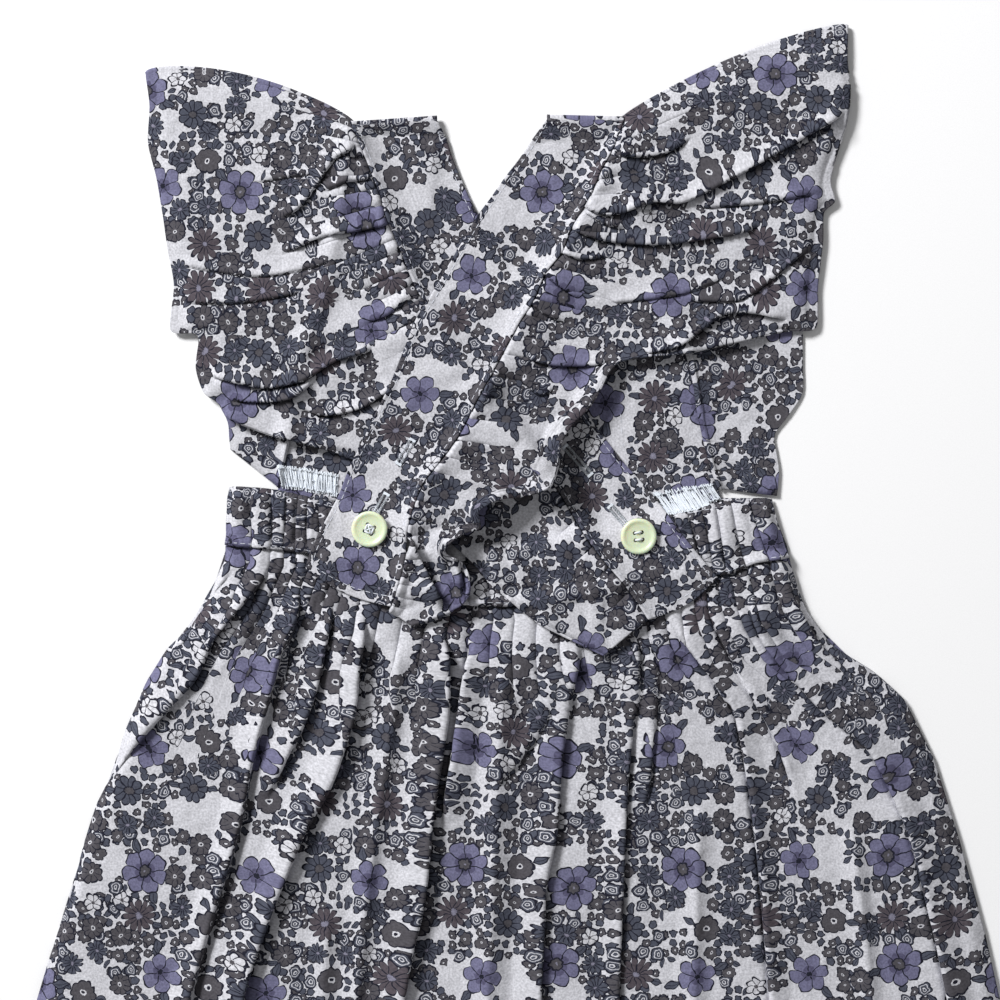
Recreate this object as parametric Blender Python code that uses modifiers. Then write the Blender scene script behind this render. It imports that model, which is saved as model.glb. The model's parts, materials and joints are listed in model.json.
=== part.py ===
"""Toddler's pinafore dress of printed cotton, laid face down with its back up.

Every cloth piece is one closed sheet of its own, kept apart from its neighbours by the
gap of a seam. Pieces are laid in the order in which they lie on the table, each one
resting on the highest cloth already under it. The tables give places on the garment in
plan units of 0.4 mm, x to the right and y from the shoulders down to the hem, and
heights in millimetres above the table.
"""

import bpy
import numpy as np
from mathutils import Vector

UNIT = 0.0004  # metres in one plan unit
CENTRE = (507.0, 637.5)  # plan place of the origin
WALL = 1.2  # thickness of a cloth piece, mm
GAP = 0.3  # air between two pieces that touch, mm
SEAM = 1.0  # plan units between two sewn edges
CELL = 2.0  # plan units between two samples of the height map
MAP_X = (-60.0, 1080.0)
MAP_Y = (0.0, 1280.0)
MM = 0.001

COLOURS = {
    "cotton": (0.45, 0.44, 0.50, 1.0),
    "button": (0.78, 0.82, 0.52, 1.0),
}

# Outline of the flat bib from the left shoulder along the neckline, down the right side
# and back along the waist.
BODICE_OUTLINE = (
    (349, 147), (384, 146), (420, 145), (440, 144), (434, 175), (431, 205), (434, 240),
    (444, 268), (464, 290), (490, 299), (517, 292), (538, 272), (549, 242), (554, 205),
    (552, 175), (548, 144), (572, 143), (597, 143), (620, 143), (627, 180), (636, 215),
    (646, 250), (658, 285), (670, 310), (682, 338), (690, 362), (695, 385), (699, 410),
    (703, 432), (708, 455), (714, 476), (718, 490), (640, 494), (560, 497), (480, 497),
    (400, 496), (330, 494), (279, 490), (284, 462), (290, 434), (295, 400), (302, 366),
    (311, 335), (322, 308), (329, 280), (336, 245), (343, 200), (347, 172),
)

# Side edges of the skirt, as (y, x).
SIDE_LEFT = (
    (546, 225), (560, 225), (580, 214), (602, 203), (625, 187), (650, 166), (683, 146),
    (731, 125), (800, 98), (880, 70), (960, 48), (1050, 22), (1140, -5), (1225, -28),
)
SIDE_RIGHT = (
    (558, 789), (573, 794), (594, 800), (613, 808), (645, 831), (661, 855), (674, 876),
    (700, 905), (760, 935), (840, 960), (930, 985), (1020, 1005), (1110, 1025),
    (1225, 1042),
)
# Edges across the garment, as (x, y): the back waistband's two, the bib's foot, the hem.
BAND_TOP = (
    (228, 487), (250, 488), (273, 490), (306, 497), (340, 504), (380, 517), (420, 532),
    (464, 543), (515, 545), (560, 539), (600, 530), (640, 520), (680, 511), (720, 503),
    (745, 499), (772, 499),
)
BAND_FOOT = (
    (225, 545), (250, 547), (276, 549), (306, 553), (340, 562), (380, 579), (420, 595),
    (464, 605), (515, 606), (560, 600), (600, 591), (640, 583), (680, 577), (728, 574),
    (755, 563), (789, 558),
)
BODICE_FOOT = (
    (230, 497), (279, 490), (330, 494), (400, 496), (480, 497), (560, 497), (640, 494),
    (718, 490), (769, 497),
)
HEM = (
    (-28, 1225), (90, 1237), (240, 1246), (420, 1250), (600, 1250), (780, 1246),
    (930, 1237), (1042, 1225),
)

# Gathers across the back waist: how far along the waist each whole gather ends. They
# crowd together beside the strap ends.
GATHER_ENDS = (
    0.0, 0.045, 0.080, 0.104, 0.126, 0.147, 0.168, 0.190, 0.214, 0.245, 0.282, 0.320,
    0.358, 0.396, 0.434, 0.472, 0.510, 0.550, 0.590, 0.630, 0.668, 0.704, 0.738, 0.770,
    0.798, 0.822, 0.845, 0.868, 0.893, 0.925, 0.962, 1.0,
)

# Long folds of the back skirt. A fold rises gently over one width and drops over the
# other: height, width on the left, width on the right, then the places of its crest.
SKIRT_FOLDS = (
    (3.2, 26, 12, (236, 560), (208, 594), (190, 622), (166, 662)),
    (4.2, 30, 13, (259, 566), (236, 592), (209, 643), (181, 686), (136, 740), (104, 800),
     (66, 900), (30, 1000), (6, 1100), (-6, 1215)),
    (4.5, 14, 30, (289, 590), (263, 650), (257, 690), (246, 760), (232, 830), (205, 920),
     (180, 1010), (158, 1110), (140, 1225)),
    (4.0, 32, 13, (332, 612), (312, 686), (296, 730), (284, 752), (262, 800)),
    (6.0, 34, 15, (362, 606), (349, 690), (335, 752), (301, 818), (264, 878), (250, 915),
     (236, 1000), (226, 1100), (220, 1225)),
    (3.6, 40, 14, (434, 624), (431, 712), (423, 752), (416, 812), (408, 862), (396, 950),
     (384, 1060), (376, 1225)),
    (3.4, 14, 26, (452, 628), (450, 700), (441, 770), (436, 800)),
    (4.0, 20, 40, (496, 660), (490, 760), (488, 860), (482, 980), (478, 1100), (474, 1225)),
    (3.6, 38, 13, (572, 628), (561, 686), (554, 757), (548, 813), (540, 883), (537, 945),
     (533, 1060), (530, 1225)),
    (3.0, 34, 16, (558, 668), (545, 715), (517, 758), (478, 798)),
    (3.0, 26, 12, (630, 630), (632, 686), (629, 722), (622, 800), (618, 900), (614, 1010),
     (612, 1130), (612, 1225)),
    (2.6, 24, 16, (655, 646), (652, 716), (646, 783), (640, 818)),
    (3.0, 14, 26, (676, 612), (710, 662), (724, 690), (738, 709), (752, 780), (764, 880),
     (774, 1000), (784, 1120), (792, 1225)),
    (4.2, 13, 30, (755, 592), (767, 628), (792, 666), (820, 698), (846, 728), (880, 752),
     (912, 830), (938, 930), (960, 1040), (978, 1150), (988, 1225)),
    (3.0, 24, 24, (700, 800), (696, 900), (694, 1010), (700, 1120), (704, 1225)),
    (3.0, 22, 22, (850, 820), (862, 920), (874, 1030), (884, 1130), (890, 1225)),
    (2.6, 22, 22, (330, 900), (322, 1000), (312, 1110), (304, 1225)),
)

SKIRT_ROWS = (
    0.0, 0.02, 0.05, 0.085, 0.13, 0.18, 0.24, 0.32, 0.42, 0.55, 0.7, 0.85, 1.0,
)  # shares of the way from waist to hem
RUFFLE_COLUMNS = (0.0, 0.12, 0.3, 0.52, 0.76, 1.0)  # shares of the way from seam to hem

# Straps from the fold over the shoulder down to the buttoned end: the outer edge, that
# carries the ruffle, and the inner edge, as (outer x, outer y, inner x, inner y).
STRAP_LEFT = (
    (350, 122, 437, 116), (356, 135, 446, 137), (362, 150, 452, 155),
    (370, 170, 459, 173), (379, 193, 468, 194), (387, 220, 478, 214),
    (400, 250, 491, 240), (416, 289, 507, 277), (440, 323, 525, 310),
    (470, 366, 549, 349), (500, 409, 573, 389), (528, 449, 592, 420),
    (555, 487, 622, 460), (567, 506, 641, 481), (586, 538, 662, 507),
    (604, 562, 680, 532), (626, 588, 700, 557), (647, 619, 717, 577),
)
STRAP_RIGHT = (
    (624, 117, 547, 115), (613, 149, 533, 137), (602, 169, 519, 158),
    (594, 188, 505, 176), (584, 207, 491, 196), (572, 227, 478, 214),
    (562, 253, 466, 234), (546, 273, 452, 258), (533, 302, 438, 282),
    (520, 322, 427, 302), (507, 346, 416, 320), (490, 378, 403, 352),
    (473, 409, 390, 384), (459, 436, 372, 421), (440, 462, 361, 444),
    (424, 483, 347, 472), (414, 508, 338, 496), (408, 530, 329, 514),
    (406, 553, 320, 531), (401, 578, 312, 548), (392, 606, 306, 568),
)
STRAP_RETURN = 22  # plan units from the shoulder fold back to the bib's shoulder seam
FOLD_ROWS = 4  # rows of points round a fold
FOLD_DEPTH = 4.0  # plan units from a fold's rim to where the cloth lies level

# Ruffles, each one strip from the front waist up the bib's side, round the fold at the
# shoulder and down the strap: seam x, seam y, hem x, hem y, and for the back layer the
# height to which the cloth curls up before its hem.
RUFFLE_LEFT_FRONT = (
    (277, 487, 229, 449), (288, 440, 228, 436), (293, 404, 226, 420),
    (299, 368, 212, 392), (310, 335, 201, 352), (326, 290, 188, 300),
    (334, 250, 176, 240), (342, 200, 164, 180), (348, 148, 152, 106),
    (349, 124, 145, 74),
)
RUFFLE_LEFT_BACK = (
    (349, 122, 145, 72, 0), (355, 136, 149, 105, 0), (361, 151, 147, 142, 0),
    (367, 166, 156, 178, 0), (374, 182, 162, 215, 0), (380, 200, 167, 250, 0),
    (386, 221, 173, 285, 0), (394, 239, 170, 330, 0), (400, 253, 197, 335, 0),
    (408, 272, 195, 368, 0), (415, 289, 203, 392, 0), (426, 305, 216, 402, 0),
    (439, 324, 229, 419, 1), (454, 345, 268, 435, 1), (469, 367, 311, 446, 1),
    (484, 388, 352, 459, 0), (499, 410, 385, 480, 0), (527, 450, 425, 520, 0),
    (554, 488, 471, 561, 0), (566, 507, 489, 582, 0), (585, 539, 515, 605, 0),
    (603, 563, 540, 624, 0), (625, 589, 575, 642, 0), (646, 619, 603, 655, 0),
)
RUFFLE_RIGHT_FRONT = (
    (720, 489, 778, 496), (715, 476, 780, 470), (709, 455, 777, 450),
    (703, 430, 776, 434), (699, 408, 792, 412), (696, 385, 804, 392),
    (691, 362, 804, 364), (683, 337, 804, 330), (671, 308, 803, 292),
    (659, 284, 806, 255), (647, 250, 812, 208), (637, 214, 822, 158),
    (628, 178, 838, 100), (622, 147, 843, 54), (626, 120, 849, 27),
)
RUFFLE_RIGHT_BACK = (
    (625, 118, 849, 25, 0), (616, 147, 848, 60, 0), (610, 160, 851, 95, 1),
    (602, 174, 848, 125, 1), (596, 188, 832, 177, 0), (590, 199, 836, 200, 0),
    (583, 211, 825, 212, 0), (575, 226, 824, 240, 0), (568, 243, 819, 285, 0),
    (560, 259, 817, 327, 0), (549, 272, 790, 331, 0), (542, 286, 758, 338, 1),
    (536, 299, 722, 346, 1), (528, 313, 685, 354, 1), (519, 329, 652, 357, 2),
    (510, 345, 622, 364, 3), (501, 362, 609, 372, 5), (491, 381, 598, 392, 6),
    (482, 398, 586, 407, 7), (472, 416, 569, 420, 7), (463, 434, 558, 440, 7),
    (451, 452, 550, 456, 7), (440, 467, 536, 473, 7), (429, 480, 515, 490, 7),
    (421, 493, 494, 502, 7), (416, 508, 478, 517, 6), (411, 524, 470, 533, 5),
    (408, 540, 446, 543, 3), (407, 556, 434, 558, 2), (404, 573, 432, 578, 1),
    (399, 590, 444, 602, 1), (394, 607, 470, 615, 0), (392, 620, 474, 625, 0),
)

# Buttons: plan centre, then the turned profile as (radius mm, height mm).
BUTTONS = (("button_left", 370, 529, 0.35), ("button_right", 638, 536, 0.9))
BUTTON_PROFILE = (
    (4.4, 0.0), (6.2, 0.25), (7.0, 0.9), (7.2, 1.5), (6.9, 2.1), (6.3, 2.3), (5.6, 2.15),
    (5.0, 1.75), (4.0, 1.6),
)
BUTTON_SEGMENTS = 28
HOLE_PITCH = 2.05  # from the button's centre to a hole's centre, mm
HOLE_RADIUS = 0.8


def at(points, fractions):
    """Points of a table row by row, taken at fractions of its number of rows."""
    table = np.asarray(points, float)
    rows = np.asarray(fractions) * (len(table) - 1)
    return np.stack([np.interp(rows, np.arange(len(table)), c) for c in table.T], -1)


def along(points, x):
    """The y of a polyline given as (x, y), where its x is the one asked for."""
    table = np.asarray(points, float)
    return np.interp(x, table[:, 0], table[:, 1])


def eased(x):
    x = np.clip(x, 0.0, 1.0)
    return x * x * (3.0 - 2.0 * x)


def crest_height(plan, fold):
    """Height that one long fold gives to each plan place."""
    height, left, right, *points = fold
    path = np.asarray(points, float)
    best = np.full(plan.shape[:-1], np.inf)
    side = np.zeros(plan.shape[:-1])
    run = np.zeros(plan.shape[:-1])
    lengths = np.linalg.norm(np.diff(path, axis=0), axis=1)
    starts = np.concatenate([[0.0], np.cumsum(lengths)])
    for start, end, length, begun in zip(path, path[1:], lengths, starts):
        way = (end - start) / length
        step = np.clip((plan - start) @ way, 0.0, length)
        off = plan - start - step[..., None] * way
        far = np.linalg.norm(off, axis=-1)
        nearer = far < best
        best = np.where(nearer, far, best)
        side = np.where(nearer, way[0] * off[..., 1] - way[1] * off[..., 0], side)
        run = np.where(nearer, begun + step, run)
    width = np.where(side > 0.0, left, right)
    to_end = np.minimum(run / 40.0, 1.0)
    last = path[-1]
    if last[1] < 1200.0:
        to_end = np.minimum(to_end, (starts[-1] - run) / 60.0)
    return height * eased(1.0 - best / width) * eased(to_end)


class Stack:
    """Top of the cloth already laid, in mm above the table, on a grid over the plan."""

    def __init__(self):
        size = (
            int((MAP_Y[1] - MAP_Y[0]) / CELL) + 1,
            int((MAP_X[1] - MAP_X[0]) / CELL) + 1,
        )
        self.top = np.zeros(size)

    def cells(self, plan):
        col = np.rint((plan[..., 0] - MAP_X[0]) / CELL).astype(int)
        row = np.rint((plan[..., 1] - MAP_Y[0]) / CELL).astype(int)
        return (
            np.clip(row, 0, self.top.shape[0] - 1),
            np.clip(col, 0, self.top.shape[1] - 1),
        )

    def under(self, plan, reach):
        """Highest cloth within reach of each plan place."""
        high = self.top
        for axis in (0, 1):
            near = [
                np.roll(high, shift, axis)
                for shift in range(-int(reach / CELL) - 1, int(reach / CELL) + 2)
            ]
            high = np.max(near, axis=0)
        return high[self.cells(plan)]

    def add(self, obj):
        """Raises the map to the top of an object, from its finished triangles."""
        graph = bpy.context.evaluated_depsgraph_get()
        mesh = obj.evaluated_get(graph).to_mesh()
        mesh.calc_loop_triangles()
        points = np.array([v.co for v in mesh.vertices])
        corners = points[[t.vertices[:] for t in mesh.loop_triangles]]
        plan = np.stack(
            [corners[..., 0] / UNIT + CENTRE[0], CENTRE[1] - corners[..., 1] / UNIT], -1
        )
        longest = np.max(np.linalg.norm(plan - np.roll(plan, 1, 1), axis=-1), axis=1)
        fineness = 2 ** np.ceil(np.log2(np.maximum(longest / CELL, 4.0))).astype(int)
        spots = np.concatenate([plan, corners[..., 2:] / MM], -1)
        for steps in np.unique(fineness):
            i, j = np.meshgrid(np.arange(steps + 1), np.arange(steps + 1))
            inside = i + j <= steps
            i, j = i[inside], j[inside]
            share = np.stack([i, j, steps - i - j], -1) / steps
            spot = np.einsum("sk,tkc->tsc", share, spots[fineness == steps])
            np.maximum.at(self.top, self.cells(spot), spot[..., 2])


def resting(bound, pull, rounds=60):
    """Cloth held up by the bound and drawn level between its high places."""
    high = bound.copy()
    for _ in range(rounds):
        edge = np.pad(high, 1, mode="edge")
        level = (edge[:-2, 1:-1] + edge[2:, 1:-1] + edge[1:-1, :-2] + edge[1:-1, 2:]) / 4.0
        high = np.maximum(bound, level - pull)
    return high


def material(name):
    made = bpy.data.materials.get(name)
    if made is None:
        made = bpy.data.materials.new(name)
        made.use_nodes = True
        shader = made.node_tree.nodes["Principled BSDF"]
        shader.inputs["Base Color"].default_value = COLOURS[name]
        shader.inputs["Roughness"].default_value = 0.85 if name == "cotton" else 0.35
    return made


def place(plan, high):
    """World coordinates of plan places at heights in mm."""
    return np.stack(
        [
            (plan[..., 0] - CENTRE[0]) * UNIT,
            (CENTRE[1] - plan[..., 1]) * UNIT,
            high * MM,
        ],
        -1,
    )


def new_object(name, points, faces, slot):
    mesh = bpy.data.meshes.new(name)
    mesh.from_pydata([tuple(p) for p in points], [], faces)
    mesh.materials.append(material(slot))
    obj = bpy.data.objects.new(name, mesh)
    dress.objects.link(obj)
    return obj


def thicken(obj, upward=True):
    wall = obj.modifiers.new("cloth wall", "SOLIDIFY")
    wall.thickness = WALL * MM
    wall.offset = 1.0 if upward else -1.0
    bpy.context.view_layer.update()


def sheet(name, plan, high):
    """A cloth piece from rows of plan places and the heights of its inner face."""
    rows, columns = plan.shape[:2]
    points = place(plan, high).reshape(-1, 3)
    faces = [
        (r * columns + c, r * columns + c + 1, (r + 1) * columns + c + 1, (r + 1) * columns + c)
        for r in range(rows - 1)
        for c in range(columns - 1)
    ]
    obj = new_object(name, points, faces, "cotton")
    middle = obj.data.polygons[len(faces) - columns // 2].normal
    if middle.z < 0.0:
        obj.data.flip_normals()
    thicken(obj)
    return obj


def flat_panel(name, outline):
    """A panel lying flat on the table, cut to an outline."""
    plan = np.asarray(outline, float)
    obj = new_object(name, place(plan, np.zeros(len(plan))), [tuple(range(len(plan)))], "cotton")
    if obj.data.polygons[0].normal.z < 0.0:
        obj.data.flip_normals()
    thicken(obj)
    return obj


def folded_sheet(name, low_plan, low_high, plan, high):
    """A piece whose lower layer ends in a fold that turns it up into the layer above.

    The fold's rim is at the first row of the upper layer."""
    rim = plan[0].copy()
    plan[0, :, 1] += FOLD_DEPTH
    turns = np.linspace(0.0, np.pi, FOLD_ROWS + 2)[1:-1]
    middle = (low_high[-1] + high[0]) / 2.0
    half = (high[0] - low_high[-1]) / 2.0
    base = (low_plan[-1] + plan[0]) / 2.0
    turn_plan = np.stack([base + (rim - base) * np.sin(a) for a in turns])
    turn_high = np.stack([middle - half * np.cos(a) for a in turns])
    return sheet(
        name,
        np.concatenate([low_plan, turn_plan, plan]),
        np.concatenate([low_high, turn_high, high]),
    )


def rungs(table, rows, columns, bow=0.0, bow_rows=0.2):
    """Plan places between the seam and the hem of a ruffle or the edges of a strap."""
    taken = at([row[:4] for row in table], rows)
    t = columns[None, :, None]
    plan = taken[:, None, :2] * (1.0 - t) + taken[:, None, 2:] * t
    lift = bow * np.sin(np.pi * columns) ** 0.6
    fade = eased(1.0 - rows / bow_rows)
    plan[..., 1] -= fade[:, None] * lift[None, :]
    return plan


def lay_skirt_front():
    """The front skirt, flat on the table, from the bib's foot down to the hem."""
    levels = np.array([546, 580, 620, 660, 700, 760, 840, 930, 1020, 1110, 1180])
    left = [(np.interp(y, *np.transpose(SIDE_LEFT)) + 1.0, y) for y in levels]
    right = [(np.interp(y, *np.transpose(SIDE_RIGHT)) - 1.0, y) for y in levels]
    waist = [(x, along(BODICE_FOOT, x) + SEAM) for x in np.linspace(230.0, 769.0, 15)]
    return flat_panel("skirt_front", waist + right + list(HEM)[::-1] + left[::-1])


def gather_places(per_gather):
    ends = np.asarray(GATHER_ENDS)
    count = (len(ends) - 1) * per_gather
    phase = np.arange(count + 1) / per_gather
    return phase, np.interp(phase, np.arange(len(ends)), ends)


def lay_waistband(stack):
    """The back waistband, puckered into one rib for each gather by the elastic in it."""
    phase, share = gather_places(3)
    x_top = BAND_TOP[0][0] + (BAND_TOP[-1][0] - BAND_TOP[0][0]) * share
    x_foot = BAND_FOOT[0][0] + (BAND_FOOT[-1][0] - BAND_FOOT[0][0]) * share
    top = np.stack([x_top, along(BAND_TOP, x_top)], -1)
    foot = np.stack([x_foot, along(BAND_FOOT, x_foot) - SEAM], -1)
    down = np.linspace(0.0, 1.0, 4)[:, None]
    plan = top[None] * (1.0 - down[..., None]) + foot[None] * down[..., None]
    rib = 0.7 * np.abs(np.sin(np.pi * phase)) * (0.6 + 0.6 * np.sin(np.pi * down))
    side = eased(np.minimum(share, 1.0 - share) / 0.02)
    high = stack.under(plan, 12.0) + GAP + side * (0.4 + rib)
    return sheet("waistband_back", plan, high)


def lay_skirt_back(stack):
    """The back skirt: gathers that fade below the waist, and the long folds."""
    phase, share = gather_places(3)
    down = np.array(SKIRT_ROWS)[:, None]
    x_waist = BAND_FOOT[0][0] + (BAND_FOOT[-1][0] - BAND_FOOT[0][0]) * share
    y_waist = along(BAND_FOOT, x_waist) + SEAM
    y_left = y_waist[0] + (HEM[0][1] - y_waist[0]) * down
    y_right = y_waist[-1] + (HEM[-1][1] - y_waist[-1]) * down
    left = np.interp(y_left, *np.transpose(SIDE_LEFT))
    right = np.interp(y_right, *np.transpose(SIDE_RIGHT))
    even = np.linspace(0.0, 1.0, len(share))
    spread = share + (even - share) * eased(down / 0.6)
    x = left + (right - left) * spread
    y = y_waist + (along(HEM, x[-1]) - y_waist) * down
    plan = np.stack([x, y], -1)
    gathers = 1.5 * (0.5 + 0.5 * np.cos(2.0 * np.pi * phase)) * (1.0 - eased(down / 0.3))
    folds = np.max([crest_height(plan, fold) for fold in SKIRT_FOLDS], axis=0)
    loft = 1.2 * eased(down / 0.08)
    side = eased(np.minimum(spread, 1.0 - spread) / 0.03)
    raised = side * (loft + gathers + folds * eased(down / 0.05))
    return sheet("skirt_back", plan, stack.under(plan, 4.0) + GAP + raised)


def ruffle_wave(rows, columns, count, seam_mm, hem_mm, seed):
    """Height of the gathers, small and close at the seam and fuller at the hem."""
    drift = 0.6 * np.sin(rows * 9.0 + seed) + 0.35 * np.sin(rows * 23.0 + 2.0 * seed)
    phase = 2.0 * np.pi * (rows * count) + drift
    wave = 0.5 - 0.5 * np.cos(phase)
    slow = 0.5 - 0.5 * np.cos(phase / 2.0 + seed)
    t = columns[None]
    gathers = seam_mm * wave[:, None] * (1.0 - 0.6 * eased(t))
    fuller = hem_mm * slow[:, None] * eased(t / 0.7)
    return gathers + fuller


def curl_height(back, rows, columns):
    """How far the cloth curls up off what lies under it, most before its hem."""
    rise = at([row[4:] for row in back], rows)
    shape = eased((columns - 0.15) / 0.6) * (1.0 - 0.5 * eased((columns - 0.8) / 0.2))
    return rise * shape


def lay_ruffle(name, stack, front, back, front_rows, back_rows, bow, waves, seed):
    """One ruffle strip: its front layer on the table, a fold, then its back layer.

    bow is how far the fold at the shoulder bulges up between seam and hem, and waves
    holds the number of gathers in the front and in the back layer."""
    columns = np.array(RUFFLE_COLUMNS)
    rows = np.linspace(0.0, 1.0, front_rows)
    low_plan = rungs(front, rows, columns)
    near_fold = eased(1.0 - (1.0 - rows) / 0.25)[:, None]
    low_plan[..., 1] -= near_fold * bow * np.sin(np.pi * columns) ** 0.6
    low_plan[-1, :, 1] += 2.0
    wave = ruffle_wave(rows, columns, waves[0], 0.7, 0.9, seed)
    low_high = WALL + wave * (1.0 - near_fold)
    lower = sheet(name + "_lower", low_plan[::-1], low_high[::-1] - WALL)
    stack.add(lower)
    bpy.data.objects.remove(lower)

    rows = np.linspace(0.0, 1.0, back_rows)
    plan = rungs(back, rows, columns, bow)
    away = eased(rows / 0.06)[:, None]
    wave = ruffle_wave(rows, columns, waves[1], 0.9, 1.5, seed + 1.0)
    rest = resting(stack.under(plan, 14.0) + GAP, 0.05)
    high = rest + 0.4 + away * (wave + curl_height(back, rows, columns))
    return folded_sheet(name, low_plan, low_high, plan, high)


def lay_strap(name, stack, table, rows, tip):
    """A strap from its seam with the bib, round the fold at the shoulder, to its end.

    tip is how far the middle of the end reaches past its corners."""
    columns = np.linspace(0.0, 1.0, 5)
    plan = rungs(table, np.linspace(0.0, 1.0, rows), np.maximum(columns, SEAM / 80.0))
    way = plan[-1] - plan[-2]
    way /= np.linalg.norm(way, axis=-1, keepdims=True)
    plan[-1] += way * (tip * np.sin(np.pi * columns))[:, None]
    high = resting(stack.under(plan, 12.0) + GAP, 0.05)
    high[0] = np.maximum(high[0], WALL + 2.4)
    steps = np.array([STRAP_RETURN, STRAP_RETURN / 2.0, 4.0])
    low_plan = plan[0] + steps[:, None, None] * np.array([0.0, 1.0])
    low_high = np.full(low_plan.shape[:2], WALL)
    return folded_sheet(name, low_plan, low_high, plan, high)


def sew_button(name, stack, x, y, turn):
    """A turned disc with a raised rim and a sunk middle that four holes go through."""
    floor = float(np.max(stack.under(np.array([x, y], float), 16.0))) + GAP
    centre = Vector(place(np.array([x, y], float), np.array(floor)))
    angles = np.arange(BUTTON_SEGMENTS) * 2.0 * np.pi / BUTTON_SEGMENTS
    points = []
    for radius, high in BUTTON_PROFILE:
        for angle in angles:
            points.append(
                centre + Vector((radius * np.cos(angle), radius * np.sin(angle), high)) * MM
            )
    count = BUTTON_SEGMENTS
    faces = [
        (
            r * count + s,
            r * count + (s + 1) % count,
            (r + 1) * count + (s + 1) % count,
            (r + 1) * count + s,
        )
        for r in range(len(BUTTON_PROFILE) - 1)
        for s in range(count)
    ]
    faces.append(tuple(reversed(range(count))))
    faces.append(tuple((len(BUTTON_PROFILE) - 1) * count + s for s in range(count)))
    obj = new_object(name, points, faces, "button")
    drills = []
    for quarter in range(4):
        angle = turn + quarter * np.pi / 2.0
        offset = Vector((np.cos(angle), np.sin(angle), 0.0)) * HOLE_PITCH * MM
        bpy.ops.mesh.primitive_cylinder_add(
            vertices=10,
            radius=HOLE_RADIUS * MM,
            depth=8.0 * MM,
            location=centre + offset,
        )
        drills.append(bpy.context.object)
    for drill in drills:
        cut = obj.modifiers.new("hole", "BOOLEAN")
        cut.operation = "DIFFERENCE"
        cut.solver = "EXACT"
        cut.object = drill
    bpy.context.view_layer.update()
    graph = bpy.context.evaluated_depsgraph_get()
    drilled = bpy.data.meshes.new_from_object(obj.evaluated_get(graph))
    obj.modifiers.clear()
    obj.data = drilled
    for drill in drills:
        bpy.data.objects.remove(drill)
    return obj


for old in list(bpy.data.objects):
    bpy.data.objects.remove(old)
dress = bpy.data.collections.new("pinafore dress")
bpy.context.scene.collection.children.link(dress)

stack = Stack()
stack.add(flat_panel("bodice_front", BODICE_OUTLINE))
stack.add(lay_skirt_front())
waist_and_skirt = lay_waistband(stack), lay_skirt_back(stack)
for piece in waist_and_skirt:
    stack.add(piece)
stack.add(
    lay_ruffle(
        "ruffle_left", stack, RUFFLE_LEFT_FRONT, RUFFLE_LEFT_BACK, 19, 49, 16.0, (7, 13), 0.4
    )
)
stack.add(lay_strap("strap_left", stack, STRAP_LEFT, 22, 3.0))
stack.add(
    lay_ruffle(
        "ruffle_right", stack, RUFFLE_RIGHT_FRONT, RUFFLE_RIGHT_BACK, 23, 61, 26.0, (8, 16), 1.1
    )
)
stack.add(lay_strap("strap_right", stack, STRAP_RIGHT, 24, 6.0))
for name, x, y, turn in BUTTONS:
    stack.add(sew_button(name, stack, x, y, turn))
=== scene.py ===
"""Toddler's pinafore dress of ditsy-print cotton, laid face down, seen from above.

The cloth shells lie where the solids lie. As on the table, each piece rests on the
highest cloth already under it, with gathers, folds and creases of its own. The tables
give places in plan units of 0.4 mm, x to the right and y from the shoulders down to the
hem, and heights in millimetres.
"""

import json

import bpy
import numpy as np
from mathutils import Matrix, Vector, geometry

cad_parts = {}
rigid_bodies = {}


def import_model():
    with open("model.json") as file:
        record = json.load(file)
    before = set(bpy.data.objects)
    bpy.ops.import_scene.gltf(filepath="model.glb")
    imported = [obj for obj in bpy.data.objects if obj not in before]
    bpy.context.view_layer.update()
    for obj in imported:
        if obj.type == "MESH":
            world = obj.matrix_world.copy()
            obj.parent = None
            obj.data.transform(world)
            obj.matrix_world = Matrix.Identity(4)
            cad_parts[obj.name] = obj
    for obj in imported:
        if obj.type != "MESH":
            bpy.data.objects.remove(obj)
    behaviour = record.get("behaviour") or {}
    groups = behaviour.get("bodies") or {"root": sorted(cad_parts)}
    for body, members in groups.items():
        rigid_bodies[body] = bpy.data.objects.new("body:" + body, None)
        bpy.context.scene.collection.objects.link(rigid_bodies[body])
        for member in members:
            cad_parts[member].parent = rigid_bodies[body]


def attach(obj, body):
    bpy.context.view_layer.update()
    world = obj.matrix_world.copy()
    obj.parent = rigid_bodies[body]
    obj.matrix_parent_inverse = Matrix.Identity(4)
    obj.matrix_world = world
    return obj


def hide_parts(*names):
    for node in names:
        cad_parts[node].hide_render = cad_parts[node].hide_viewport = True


UNIT = 0.0004  # metres in one plan unit
CENTRE = (507.0, 637.5)  # plan place of the origin
MM = 0.001
SHELL = 0.6  # thickness of a cloth shell, mm
GAP = 0.7  # air and loft between two layers, mm
CELL = 1.0  # plan units between two samples of the height map
MAP_X = (-60.0, 1080.0)
MAP_Y = (0.0, 1280.0)
TUCK = 4.0  # plan units that one piece reaches under its neighbour at a seam
TURN = 0.17  # share of a ruffle's width that turns back over itself where the hem lifts
SKIRT_GRID = (466, 93)  # columns and rows of the back skirt's net
BAND_GRID = (373, 26)
STRAP_GRID = (44, 210)
RUFFLE_COLUMNS = 92
RUFFLE_ROWS = (70, 410)  # of the front and of the back layer
TURN_ROWS = 10  # rows of a net that go round the fold at a shoulder
RETURN_ROWS = 8  # rows of a strap from the bib's shoulder seam to that fold
FOLD_BACK = 4.0  # plan units from the rim of that fold to the first row of either layer
HIDDEN = 9.0  # plan units by which the cloth of a gather is offset, at most
HEM_ROLL = 0.35  # mm that the narrow hem stands above the cloth beside it
STEEP = 9.0  # a fold side narrower than this, in plan units, drops into a groove
GROOVE = 0.7  # depth of the groove as a share of the fold's height
DEEPEST = 1.9  # and its most, mm
LEAN = 1.1  # plan units that a fold's lip leans over its groove, for each mm of its height
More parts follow.
